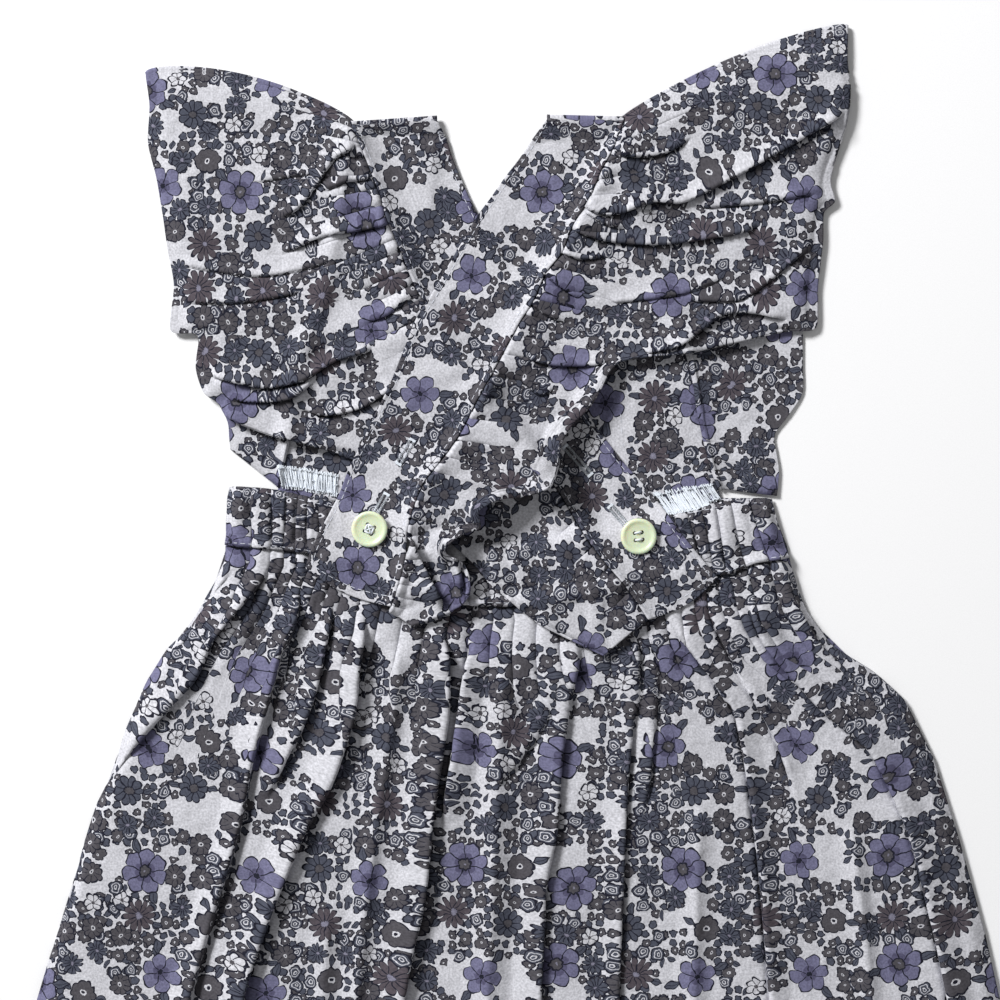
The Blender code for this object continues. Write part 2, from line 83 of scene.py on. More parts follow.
LEANING = 12.0  # plan units over which the cloth behind a lip leans with it
TO_HEM = 1200.0  # a fold whose path ends below this y runs out over the hem

BODICE_OUTLINE = (
    (349, 140), (384, 139), (420, 138), (440, 138), (434, 175), (431, 205), (434, 240),
    (444, 268), (464, 290), (490, 299), (517, 292), (538, 272), (549, 242), (554, 205),
    (552, 175), (548, 138), (572, 137), (597, 137), (622, 137), (629, 180), (638, 215),
    (648, 250), (660, 285), (672, 310), (684, 338), (692, 362), (697, 385), (701, 410),
    (705, 432), (710, 455), (716, 476), (722, 500), (640, 502), (560, 505), (480, 505),
    (400, 504), (330, 502), (275, 500), (282, 462), (288, 434), (293, 400), (300, 366),
    (309, 335), (320, 308), (327, 280), (334, 245), (341, 200), (345, 172),
)

# Side edges of the skirt, as (y, x).
SIDE_LEFT = (
    (546, 225), (560, 225), (580, 214), (602, 203), (625, 187), (650, 166), (683, 146),
    (731, 125), (800, 98), (880, 70), (960, 48), (1050, 22), (1140, -5), (1225, -28),
)
SIDE_RIGHT = (
    (558, 789), (573, 794), (594, 800), (613, 808), (645, 831), (661, 855), (674, 876),
    (700, 905), (760, 935), (840, 960), (930, 985), (1020, 1005), (1110, 1025),
    (1225, 1042),
)
# Edges across the garment, as (x, y): the back waistband's two and the hem.
BAND_TOP = (
    (228, 487), (250, 488), (273, 490), (306, 497), (340, 504), (380, 517), (420, 532),
    (464, 543), (515, 545), (560, 539), (600, 530), (640, 520), (680, 511), (720, 503),
    (745, 499), (772, 499),
)
BAND_FOOT = (
    (225, 545), (250, 547), (276, 549), (306, 553), (340, 562), (380, 579), (420, 595),
    (464, 605), (515, 606), (560, 600), (600, 591), (640, 583), (680, 577), (728, 574),
    (755, 563), (789, 558),
)
HEM = (
    (-28, 1225), (90, 1237), (240, 1246), (420, 1250), (600, 1250), (780, 1246),
    (930, 1237), (1042, 1225),
)
# Gathers across the back waist: how far along the waist each whole gather ends.
GATHER_ENDS = (
    0.0, 0.045, 0.080, 0.104, 0.126, 0.147, 0.168, 0.190, 0.214, 0.245, 0.282, 0.320,
    0.358, 0.396, 0.434, 0.472, 0.510, 0.550, 0.590, 0.630, 0.668, 0.704, 0.738, 0.770,
    0.798, 0.822, 0.845, 0.868, 0.893, 0.925, 0.962, 1.0,
)

# Folds: height, width on the left and on the right of the way it runs, then its crest.
SKIRT_FOLDS = (
    (4.0, 22, 4, (236, 560), (208, 594), (190, 622), (166, 662)),
    (3.8, 20, 4, (276, 560), (248, 592), (212, 634), (193, 675), (170, 701), (126, 750), (90, 810),
     (66, 900), (30, 1000), (6, 1100), (-6, 1215)),
    (4.4, 18, 8, (300, 590), (275, 650), (262, 700), (246, 760), (232, 830), (205, 920),
     (180, 1010), (158, 1110), (140, 1225)),
    (4.2, 18, 5, (330, 600), (312, 686), (296, 730), (284, 752), (262, 800)),
    (6.2, 26, 6, (362, 612), (352, 672), (348, 712), (326, 780), (300, 826), (272, 892), (254, 940),
     (236, 1000), (226, 1100), (220, 1225)),
    (3.0, 20, 14, (400, 640), (392, 720), (380, 800), (366, 900), (356, 1000),
     (344, 1110), (330, 1225)),
    (6.2, 30, 5, (442, 630), (442, 705), (436, 752), (427, 808), (418, 896), (404, 960),
     (388, 1060), (378, 1225)),
    (5.0, 5, 26, (476, 640), (466, 700), (456, 770), (444, 830)),
    (4.2, 28, 28, (504, 660), (498, 760), (494, 860), (488, 980), (482, 1100), (478, 1225)),
    (4.2, 30, 4, (578, 640), (566, 700), (557, 757), (551, 835), (541, 883), (538, 945),
     (533, 1060), (530, 1225)),
    (2.8, 24, 4, (558, 668), (545, 715), (517, 758), (478, 798)),
    (3.2, 20, 4, (635, 632), (634, 697), (629, 722), (622, 800), (618, 900), (614, 1010),
     (612, 1130), (612, 1225)),
    (2.2, 18, 4, (655, 646), (652, 716), (646, 783), (640, 818)),
    (3.2, 4, 18, (668, 617), (714, 674), (726, 695), (738, 709), (752, 780), (764, 880),
     (774, 1000), (784, 1120), (792, 1225)),
    (4.8, 4, 22, (748, 594), (767, 640), (792, 670), (824, 705), (850, 728), (876, 752),
     (912, 830), (938, 930), (960, 1040), (978, 1150), (988, 1225)),
    (2.6, 22, 18, (700, 800), (696, 900), (694, 1010), (700, 1120), (704, 1225)),
    (2.8, 20, 16, (850, 820), (862, 920), (874, 1030), (884, 1130), (890, 1225)),
    (2.2, 20, 16, (330, 900), (322, 1000), (312, 1110), (304, 1225)),
    (2.4, 16, 4, (786, 590), (812, 640), (838, 668), (860, 684)),
    (2.2, 4, 15, (706, 600), (726, 640), (752, 690), (780, 740), (800, 800)),
    (2.4, 14, 4, (300, 580), (286, 640), (280, 700)),
)
LEFT_CREASES = (
    (2.6, 12, 3, (356, 146), (334, 156), (314, 184), (298, 204), (278, 218)),
    (1.8, 9, 3, (372, 176), (345, 180), (318, 192)),
    (2.4, 12, 3, (389, 222), (350, 229), (325, 233), (306, 240), (280, 252)),
    (1.8, 9, 2.8, (412, 292), (398, 303), (385, 313), (360, 322)),
    (0.9, 9, 3, (318, 171), (290, 174), (250, 181)),
    (2.8, 12, 3, (371, 348), (333, 358), (300, 378), (262, 384), (205, 372)),
    (2.6, 9, 3, (311, 379), (285, 397), (225, 398)),
    (2.6, 11, 3, (392, 384), (362, 404), (326, 412), (298, 404)),
    (1.2, 10, 3, (300, 290), (240, 300), (180, 300)),
    (1.0, 12, 3, (330, 260), (260, 274), (176, 262)),
)
RIGHT_CREASES = (
    (2.0, 3, 14, (618, 154), (660, 152), (692, 134)),
    (3.4, 3, 18, (583, 203), (606, 211), (622, 209), (652, 199), (684, 198), (738, 171),
     (795, 138), (846, 110)),
    (1.8, 3, 9, (583, 208), (606, 222), (630, 227)),
    (2.8, 3, 16, (572, 226), (592, 234), (612, 238), (660, 241), (738, 230), (760, 221)),
    (1.8, 2.8, 10, (558, 248), (580, 256), (612, 254)),
    (2.2, 3, 12, (545, 272), (562, 284), (584, 300)),
    (1.6, 3, 9, (529, 298), (545, 311), (570, 322)),
    (3.0, 3, 16, (642, 350), (681, 341), (720, 312), (752, 309), (790, 318)),
    (2.0, 3, 12, (690, 298), (738, 297), (766, 280), (795, 256), (812, 244)),
    (2.4, 3, 12, (528, 356), (555, 362), (590, 362), (618, 358)),
    (2.0, 3, 9, (522, 376), (540, 392), (556, 384)),
    (1.4, 3, 10, (700, 205), (760, 200), (822, 190)),
    (1.2, 3, 10, (610, 300), (680, 292), (730, 272)),
    (5.6, 12, 4, (404, 532), (408, 546), (417, 566), (428, 587), (438, 603), (446, 614)),
    (2.6, 6, 4, (455, 546), (458, 572), (463, 600)),
)

# Straps from the fold over the shoulder down to the buttoned end: the outer edge, that
# carries the ruffle, and the inner edge, as (outer x, outer y, inner x, inner y).
STRAP_LEFT = (
    (350, 122, 437, 116), (356, 135, 446, 137), (362, 150, 452, 155),
    (370, 170, 459, 173), (379, 193, 468, 194), (387, 220, 478, 214),
    (400, 250, 491, 240), (416, 289, 507, 277), (440, 323, 525, 310),
    (470, 366, 549, 349), (500, 409, 573, 389), (528, 449, 592, 420),
    (555, 487, 622, 460), (567, 506, 641, 481), (586, 538, 662, 507),
    (604, 562, 680, 532), (626, 588, 700, 557), (647, 619, 717, 577),
)
STRAP_RIGHT = (
    (624, 117, 547, 115), (613, 149, 533, 137), (602, 169, 519, 158),
    (594, 188, 505, 176), (584, 207, 491, 196), (572, 227, 478, 214),
    (562, 253, 466, 234), (546, 273, 452, 258), (533, 302, 438, 282),
    (520, 322, 427, 302), (507, 346, 416, 320), (490, 378, 403, 352),
    (473, 409, 390, 384), (459, 436, 372, 421), (440, 462, 361, 444),
    (424, 483, 347, 472), (414, 508, 338, 496), (408, 530, 329, 514),
    (406, 553, 320, 531), (401, 578, 312, 548), (392, 606, 306, 568),
)
BUTTON_PROFILE = (  # radius and height, mm
    (4.4, 0.0), (6.2, 0.25), (7.0, 0.9), (7.2, 1.5), (7.1, 1.9), (6.8, 2.2), (6.3, 2.32),
    (5.8, 2.22), (5.4, 1.95), (4.9, 1.72), (4.0, 1.6), (2.4, 1.55),
)
HOLE_PITCH = 2.05  # from a button's centre to each hole's, mm
HOLE_RADIUS = 0.8
DRILL = ((HOLE_RADIUS, -3.0), (HOLE_RADIUS, 6.0))  # profile of what bores a hole, mm
BUTTON_SIDES, HOLE_SIDES = 72, 20
SHARP = 0.9  # radians; edges of a button that turn more stay sharp
BUTTON_FOOT = 16.0  # radius, in plan units, of the ring of cloth that a button rests on
FOOT_SHARE = 70  # percentile of the cloth's heights on that ring at which it rests
BUTTONS = (  # side, x, y, turn, lean, pairs of holes that thread joins, strands for each
    ("left", 370, 529, 0.35, (0.02, -0.03, 0.0),
     ((0, 1), (1, 2), (2, 3), (3, 0), (0, 2), (1, 3)), 5),
    ("right", 638, 536, 0.9, (0.05, 0.03, 0.0), ((0, 1), (3, 2)), 7),
)
STRAP_RETURN = 22  # plan units from the shoulder fold back to the bib's shoulder seam
FRONT_WAIST_Y, FRONT_WAIST_X = 498.0, (230.0, 769.0)  # top edge of the front skirt

# Thickness of the threads, mm: topstitching, buttonholes, overlocking, buttons.
TOPSTITCH, WORKED, LOOPED, TIED = 0.28, 0.36, 0.5, 0.45
WORKED_LIFT = 0.25  # height of a buttonhole's thread over the cloth's samples, mm
WORKED_PITCH = 0.75  # plan units between its stitches
WORKED_REACH = (0.9, 3.4)  # plan units from the slit to their two ends
BAR_STEPS = (0.3, 1.1, 1.9)  # plan units from the slit's end to the threads of its bar
STRAP_SEAM = 0.06  # share of a strap's width from its edge to the topstitching
LOOPS = 1.7  # overlock loops for each plan unit
LOOP = (0.0, 0.7, 1.6)  # where a loop starts, turns and ends, in loops along the edge
STRAY = 0.35  # plan units by which the threads of overlocking and buttons stray
NEEDLE_ROWS = (0.12, 0.5, 0.88)  # how far down the seam allowance each one runs
# Sewing, as plan places. Buttonholes: the two ends of each slit.
HOLES_LEFT = (((566, 447), (590, 474)), ((611, 507), (628, 527)))
HOLES_RIGHT = (((412, 441), (399, 463)), ((386, 495), (374, 516)))
# Overlocked seam allowance of the front waist: its upper and its lower edge.
OVERLOCK_LEFT = (((277, 465), (300, 467), (338, 474)), ((281, 488), (305, 491), (337, 497)))
OVERLOCK_RIGHT = (((652, 493), (684, 487), (712, 483)), ((668, 515), (696, 510), (722, 500)))
BIB_STITCHES = ((621, 412), (623, 440), (627, 466), (628, 500))

# Ruffles, each one strip from the front waist up the bib's side, round the fold at the
# shoulder and down the strap: seam x, seam y, hem x, hem y, and for the back layer the
# height to which the cloth curls up, in mm, and how far its hem then turns back over it.
# Rows without these two lie flat.
RUFFLE_LEFT_FRONT = (
    (277, 487, 229, 449), (288, 440, 228, 436), (293, 404, 226, 420),
    (299, 368, 212, 392), (310, 335, 201, 352), (326, 290, 188, 300),
    (334, 250, 176, 240), (342, 200, 164, 180), (348, 148, 152, 106),
    (349, 124, 145, 74),
)
RUFFLE_LEFT_BACK = (
    (349, 122, 145, 72), (355, 136, 149, 105), (361, 151, 147, 142),
    (367, 166, 156, 178), (374, 182, 162, 215), (380, 200, 167, 250),
    (386, 221, 173, 285), (394, 239, 170, 330), (400, 253, 197, 335),
    (408, 272, 195, 368), (415, 289, 203, 392), (426, 305, 216, 402),
    (439, 324, 229, 419, 1, 3), (454, 345, 268, 435, 1, 3), (469, 367, 311, 446, 1, 3),
    (484, 388, 352, 459), (499, 410, 385, 480), (527, 450, 425, 520),
    (554, 488, 471, 561), (566, 507, 489, 582), (585, 539, 515, 605),
    (603, 563, 540, 624), (625, 589, 575, 642), (646, 619, 603, 655),
)
RUFFLE_RIGHT_FRONT = (
    (720, 489, 778, 496), (715, 476, 780, 470), (709, 455, 777, 450),
    (703, 430, 776, 434), (699, 408, 792, 412), (696, 385, 804, 392),
    (691, 362, 804, 364), (683, 337, 804, 330), (671, 308, 803, 292),
    (659, 284, 806, 255), (647, 250, 812, 208), (637, 214, 822, 158),
    (628, 178, 838, 100), (622, 147, 843, 54), (626, 120, 849, 27),
)
RUFFLE_RIGHT_BACK = (
    (625, 118, 849, 25), (616, 147, 848, 60), (610, 160, 851, 95, 1, 3),
    (602, 174, 848, 125, 1, 3), (596, 188, 832, 177), (590, 199, 836, 200),
    (583, 211, 825, 212), (575, 226, 824, 240), (568, 243, 819, 285),
    (560, 259, 817, 327), (549, 272, 790, 331), (542, 286, 758, 338, 1, 3),
    (536, 299, 722, 346, 1, 3), (528, 313, 685, 354, 1, 3), (519, 329, 652, 357, 2, 5),
    (510, 345, 622, 362, 2, 5), (501, 362, 610, 372, 4, 10), (491, 381, 600, 392, 5, 13),
    (482, 398, 589, 409, 5, 13), (472, 416, 571, 427, 6, 14), (463, 434, 561, 446, 7, 18),
    (453, 449, 558, 470, 9, 28), (443, 462, 549, 489, 8, 24), (433, 474, 524, 497, 5, 12),
    (425, 485, 500, 500, 10, 10), (419, 498, 480, 511, 11, 9), (413, 514, 481, 528, 8, 8),
    (410, 526, 466, 533, 9, 9), (408, 540, 450, 544, 10, 9), (407, 550, 447, 553, 5, 7),
    (406, 560, 463, 562, 2, 5), (404, 570, 470, 576, 2, 5), (402, 580, 470, 592, 1, 3),
    (399, 590, 464, 603, 2, 5), (396, 599, 450, 612, 1, 3), (393, 606, 432, 620),
    (391, 611, 412, 625, 1, 3),
)


# ---- materials ----


class Nodes:
    """Adds shader nodes and links their inputs."""

    def __init__(self, name):
        self.material = bpy.data.materials.new(name)
        self.material.use_nodes = True
        self.tree = self.material.node_tree
        self.tree.nodes.clear()

    def add(self, kind, inputs=(), **settings):
        """A node with its settings, and a value or a link for each input given."""
        node = self.tree.nodes.new(kind)
        for key, value in settings.items():
            setattr(node, key, value)
        for key, value in dict(inputs).items():
            self.feed(node.inputs[key], value)
        return node

    def feed(self, socket, value):
        if isinstance(value, bpy.types.NodeSocket):
            self.tree.links.new(value, socket)
        else:
            socket.default_value = value

    def math(self, operation, *values):
        return self.add("ShaderNodeMath", dict(enumerate(values)), operation=operation).outputs[0]

    def vector(self, operation, *values, out=0):
        node = self.add("ShaderNodeVectorMath", dict(enumerate(values)), operation=operation)
        return node.outputs[out]

    def both(self, a, b):
        """The product of two values: 1 only where both are 1."""
        return self.math("MULTIPLY", a, b)

    def mix(self, share, a, b):
        return self.add("ShaderNodeMix", {0: share, 6: a, 7: b}, data_type="RGBA").outputs[2]

    def noise(self, vector, scale, detail, rough=0.5, out=0):
        inputs = {"Vector": vector, "Scale": scale, "Detail": detail, "Roughness": rough}
        return self.add("ShaderNodeTexNoise", inputs, noise_dimensions="2D").outputs[out]


def srgb(red, green, blue):
    """Scene-linear colour of 8-bit screen values."""
    parts = np.array([red, green, blue]) / 255.0
    linear = np.where(parts > 0.04045, ((parts + 0.055) / 1.055) ** 2.4, parts / 12.92)
    return (*linear.tolist(), 1.0)


GROUND = srgb(189, 189, 195)
PERIWINKLE = srgb(104, 103, 129)
DUSK = srgb(80, 78, 102)
NAVY = srgb(30, 31, 42)
CHARCOAL = srgb(75, 73, 78)
SLATE = srgb(72, 75, 87)
BROWN = srgb(77, 71, 77)
MAUVE = srgb(118, 116, 132)

# The print, from the bottom layer up, in mm of cloth. A layer has cell, the pitch of its
# places, seed, stray, how far off its lattice a motif may be as a share of the cell,
# reach, how wide the garlands are that hold it, and clear, the larger layers that it
# keeps off, each with the room that it leaves them. A motif has share, the throws of the
# dice that bring it, petals, their count, how deep they are cut and how blunt, bands, its
# colours from the middle out with the share of the radius where each starts, and lines,
# the half width of the dividers between petals and where they start. A leaf is how far
# out its pair stands, its half length and half width, and the throws that bring it.
PRINT_LAYERS = {
    "sprigs": dict(
        cell=3.7, seed=(0.3, 7.1), stray=0.5, reach=0.155,
        clear=(("blooms", 9.0), ("daisies", 6.4)), leaf=(0.0, 2.2, 1.05, 0.12),
        motifs=(
            dict(share=(0.12, 0.6), radius=1.75, petals=(5, 0.24, 0.6),
                 bands=((0.0, SLATE), (0.72, NAVY))),
            dict(share=(0.6, 0.96), radius=1.85, petals=(6, 0.2, 0.6),
                 bands=((0.0, GROUND), (0.2, NAVY), (0.32, CHARCOAL), (0.74, NAVY))),
        ),
    ),
    "roses": dict(
        cell=6.6, seed=(3.1, 0.4), stray=0.6, reach=0.165,
        clear=(("blooms", 10.0), ("daisies", 7.4)),
        motifs=(
            dict(share=(0.0, 0.4), radius=2.9, petals=(5, 0.16, 0.7),
                 bands=((0.0, SLATE), (0.16, GROUND), (0.27, NAVY), (0.36, SLATE),
                        (0.52, GROUND), (0.62, SLATE), (0.8, NAVY))),
            dict(share=(0.4, 0.72), radius=2.9, petals=(7, 0.24, 0.7),
                 bands=((0.0, NAVY), (0.1, GROUND), (0.2, CHARCOAL), (0.83, NAVY))),
        ),
    ),
    "flowers": dict(
        cell=11.0, seed=(7.7, 2.4), stray=0.55, reach=0.2,
        clear=(("blooms", 11.5), ("daisies", 9.0)),
        motifs=(
            dict(share=(0.0, 0.3), radius=4.6, petals=(9, 0.18, 0.8), lines=(0.14, 0.42),
                 bands=((0.0, NAVY), (0.1, GROUND), (0.2, CHARCOAL), (0.87, NAVY))),
            dict(share=(0.3, 0.46), radius=3.9, petals=(6, 0.3, 0.7), lines=(0.16, 0.3),
                 bands=((0.0, CHARCOAL), (0.22, GROUND), (0.82, NAVY))),
            dict(share=(0.46, 0.78), radius=4.5, petals=(11, 0.42, 0.5), lines=(0.2, 0.3),
                 bands=((0.0, MAUVE), (0.16, NAVY), (0.22, SLATE), (0.87, NAVY))),
        ),
    ),
    "daisies": dict(
        cell=25.0, seed=(2.9, 9.4), stray=0.36, reach=1.0, clear=(("blooms", 15.0),),
        leaf=(7.6, 2.9, 1.4, 0.8),
        motifs=(
            dict(share=(0.0, 0.3), radius=6.1, petals=(10, 0.22, 0.7), lines=(0.22, 0.34),
                 bands=((0.0, CHARCOAL), (0.28, NAVY), (0.34, SLATE), (0.89, NAVY))),
            dict(share=(0.3, 0.6), radius=7.0, petals=(12, 0.42, 0.62), lines=(0.18, 0.28),
                 bands=((0.0, MAUVE), (0.18, NAVY), (0.22, BROWN), (0.9, NAVY))),
            dict(share=(0.6, 0.8), radius=5.4, petals=(9, 0.14, 0.8),
                 bands=((0.0, NAVY), (0.13, GROUND), (0.24, CHARCOAL), (0.89, NAVY))),
        ),
    ),
    "blooms": dict(
        cell=43.0, seed=(4.8, 9.1), stray=0.4, reach=1.0, clear=(),
        leaf=(10.4, 3.6, 1.8, 0.9),
        motifs=(
            dict(share=(0.0, 0.5), radius=9.4, petals=(7, 0.26, 0.55), lines=(0.24, 0.3),
                 bands=((0.0, MAUVE), (0.05, CHARCOAL), (0.22, NAVY), (0.29, DUSK),
                        (0.48, PERIWINKLE), (0.93, NAVY))),
            dict(share=(0.5, 0.9), radius=8.0, petals=(6, 0.34, 0.55), lines=(0.2, 0.2),
                 bands=((0.0, NAVY), (0.14, DUSK), (0.4, PERIWINKLE), (0.93, NAVY))),
        ),
    ),
}
GARLAND = 24.0  # mm between garlands
WARP = 1.4  # mm by which motifs are pulled out of true
TUMBLE = 43.0  # radians by which the dice turn a motif
LEAF_RIM, LEAF_RIB = 0.7, 0.1  # where a leaf's rim starts, and half its rib's width in mm
GRAIN, DARKEST = 0.9, 0.55  # how far the yarns' tone varies, from the lowest share up
CRUMPLE, WEAVE = 6.0, 0.06  # how high each stands in the bump


class Print(Nodes):
    """Flowers and leaves in garlands over the cloth, painted in layers."""

    def __init__(self):
        super().__init__("cotton")
        cloth = self.add("ShaderNodeUVMap", uv_map="cloth").outputs[0]
        self.cloth = self.vector("MULTIPLY", cloth, (1000.0, 1000.0, 1000.0))
        warp = self.noise(self.cloth, scale=0.34, detail=0.0, out="Color")
        self.drawn = self.vector("MULTIPLY_ADD", warp, (WARP, WARP, 0.0), self.cloth)
        self.colour = GROUND

    def banded(self, share, bands):
        """Colour by how far out a place is, in plain bands."""
        node = self.add("ShaderNodeValToRGB", {"Fac": share})
        ramp = node.color_ramp
        ramp.interpolation = "CONSTANT"
        while len(ramp.elements) < len(bands):
            ramp.elements.new(0.5)
        for stop, (start, colour) in zip(ramp.elements, bands):
            stop.position, stop.color = start, colour
        return node.outputs[0]

    def home(self, layer, spot):
        """The way from the motif of a layer that a spot belongs to, in cells, and its throw."""
        size = 1.0 / layer["cell"]
        laid = self.vector("MULTIPLY_ADD", spot, (size, size, 0.0), layer["seed"] + (0.0,))
        near = self.add(
            "ShaderNodeTexVoronoi",
            {"Vector": laid, "Scale": 1.0, "Randomness": layer["stray"]},
            voronoi_dimensions="2D",
        )
        off = self.vector("SUBTRACT", laid, near.outputs["Position"])
        roll = self.add("ShaderNodeSeparateXYZ", {"Vector": near.outputs["Color"]}).outputs[0]
        return off, roll

    def free(self, layer, off):
        """1 for motifs that lie in a garland and keep clear of larger ones."""
        cell = layer["cell"]
        centre = self.vector("MULTIPLY_ADD", off, (-cell, -cell, 0.0), self.drawn)
        shown = None
        if layer["reach"] < 1.0:
            net = self.noise(centre, scale=1.0 / GARLAND, detail=1.0, rough=0.45)
            shown = self.math("COMPARE", net, 0.5, layer["reach"])
        for name, room in layer["clear"]:
            other = PRINT_LAYERS[name]
            away, roll = self.home(other, centre)
            outside = self.math(
                "GREATER_THAN", self.vector("LENGTH", away, out=1), room / other["cell"]
            )
            most = max(motif["share"][1] for motif in other["motifs"])
            unused = self.math("GREATER_THAN", roll, most)
            clear = self.math("MAXIMUM", outside, unused)
            shown = clear if shown is None else self.both(shown, clear)
        return shown

    def cover(self, inside, thrown, shown, colour):
        """Paints a motif over what is there, inside its edge, where the dice bring it and
        the layer shows."""
        here = self.both(inside, thrown)
        here = here if shown is None else self.both(here, shown)
        self.colour = self.mix(here, self.colour, colour)

    def leaves(self, layer, angle, r, roll, shown):
        """A pair of pointed leaves, one on each side of the layer's place."""
        out, length, width, most = layer["leaf"]
        x = self.both(self.math("COSINE", angle), r)
        if out:
            x = self.math("SUBTRACT", self.math("ABSOLUTE", x), out)
        y = self.math("ABSOLUTE", self.both(self.math("SINE", angle), r))
        squared = self.both(self.both(x, x), 1.0 / length**2)
        share = self.math("MULTIPLY_ADD", y, 1.0 / width, squared)
        colour = self.banded(share, ((0.0, SLATE), (LEAF_RIM, NAVY)))
        colour = self.mix(self.math("LESS_THAN", y, LEAF_RIB), colour, NAVY)
        thrown = self.math("LESS_THAN", roll, most)
        self.cover(self.math("LESS_THAN", share, 1.0), thrown, shown, colour)

    def flower(self, motif, angle, r, roll, shown):
        """Rounded petals about a middle, in bands of colour, with dividers between them."""
        count, depth, power = motif["petals"]
        first, last = motif["share"]
        ray = self.math("ABSOLUTE", self.math("COSINE", self.both(angle, count / 2.0)))
        most = motif["radius"]
        limit = self.math(
            "MULTIPLY_ADD", self.math("POWER", ray, power), depth * most, (1.0 - depth) * most
        )
        share = self.math("DIVIDE", r, limit)
        colour = self.banded(share, motif["bands"])
        if "lines" in motif:
            width, start = motif["lines"]
            line = self.both(
                self.math("LESS_THAN", self.both(ray, r), width * count / 2.0),
                self.math("GREATER_THAN", share, start),
            )
            colour = self.mix(line, colour, NAVY)
        thrown = self.math("COMPARE", roll, (first + last) / 2.0, (last - first) / 2.0)
        self.cover(self.math("LESS_THAN", share, 1.0), thrown, shown, colour)

    def lay(self, layer):
        """Paints one layer's leaves and flowers, each turned its own way."""
        off, roll = self.home(layer, self.drawn)
        shown = self.free(layer, off)
        parts = self.add("ShaderNodeSeparateXYZ", {"Vector": off})
        angle = self.math("ARCTAN2", parts.outputs[1], parts.outputs[0])
        angle = self.math("MULTIPLY_ADD", roll, TUMBLE, angle)
        r = self.both(self.vector("LENGTH", off, out=1), layer["cell"])
        if "leaf" in layer:
            self.leaves(layer, angle, r, roll, shown)
        for motif in layer["motifs"]:
            self.flower(motif, angle, r, roll, shown)


def print_material():
    """The cotton: the print, the grain of its yarns, its weave and its soft crumples."""
    p = Print()
    for layer in PRINT_LAYERS.values():
        p.lay(layer)
    shade = p.math("MULTIPLY_ADD", p.noise(p.cloth, scale=1.2, detail=2.0), GRAIN, DARKEST)
    scaled = p.add("ShaderNodeVectorMath", {0: p.colour, "Scale": shade}, operation="SCALE")
    waves = {"Vector": p.cloth, "Scale": 0.9}
    warp, weft = (
        p.add("ShaderNodeTexWave", waves, bands_direction=way).outputs[1] for way in ("X", "Y")
    )
    weave = p.math("ADD", warp, weft)
    crumple = p.noise(p.cloth, scale=0.09, detail=2.0, rough=0.55)
    height = p.math("MULTIPLY_ADD", crumple, CRUMPLE, p.both(weave, WEAVE))
    bump = p.add("ShaderNodeBump", {"Height": height, "Strength": 0.6, "Distance": 0.0003})
    surface = p.add(
        "ShaderNodeBsdfPrincipled",
        {
            "Base Color": scaled.outputs[0],
            "Roughness": 0.9,
            "Specular IOR Level": 0.12,
            "Normal": bump.outputs[0],
        },
    )
    p.add("ShaderNodeOutputMaterial", {"Surface": surface.outputs[0]})
    return p.material


def plain_material(name, colour, rough, **more):
    """One colour with a fine grain."""
    n = Nodes(name)
    spot = n.add("ShaderNodeTexCoord").outputs["Object"]
    grain = n.add("ShaderNodeTexNoise", {"Vector": spot, "Scale": 2200.0, "Detail": 2.0})
    dark, light = (
        tuple(min(1.0, part * tone) for part in colour[:3]) + (1.0,) for tone in (0.93, 1.06)
    )
    inputs = {"Base Color": n.mix(grain.outputs[0], dark, light), "Roughness": rough}
    inputs.update({key.replace("_", " "): value for key, value in more.items()})
    surface = n.add("ShaderNodeBsdfPrincipled", inputs)
    n.add("ShaderNodeOutputMaterial", {"Surface": surface.outputs[0]})
    return n.material


def at(points, fractions):
    """Points of a table row by row, taken at fractions of its number of rows and eased."""
    table = np.asarray(points, float)
    rows = np.clip(np.asarray(fractions, float), 0.0, 1.0) * (len(table) - 1)
    first = np.minimum(rows.astype(int), len(table) - 2)
    f = (rows - first)[..., None]
    before, start = table[np.maximum(first - 1, 0)], table[first]
    end, after = table[first + 1], table[np.minimum(first + 2, len(table) - 1)]
    leave, arrive = (end - before) * 0.4, (after - start) * 0.4
    return (
        start * (2.0 * f**3 - 3.0 * f**2 + 1.0)
        + leave * (f**3 - 2.0 * f**2 + f)
        + end * (3.0 * f**2 - 2.0 * f**3)
        + arrive * (f**3 - f**2)
    )


def along(points, x):
    """The second coordinate of an edge where its first one is x."""
    table = np.asarray(points, float)
    return np.interp(x, table[:, 0], table[:, 1])


def across(points, share):
    """The first coordinate at a share of the way from one end of an edge to the other."""
    return points[0][0] + (points[-1][0] - points[0][0]) * share


def eased(x):
    """From 0 to 1, slow at both ends."""
    x = np.clip(x, 0.0, 1.0)
    return x * x * (3.0 - 2.0 * x)


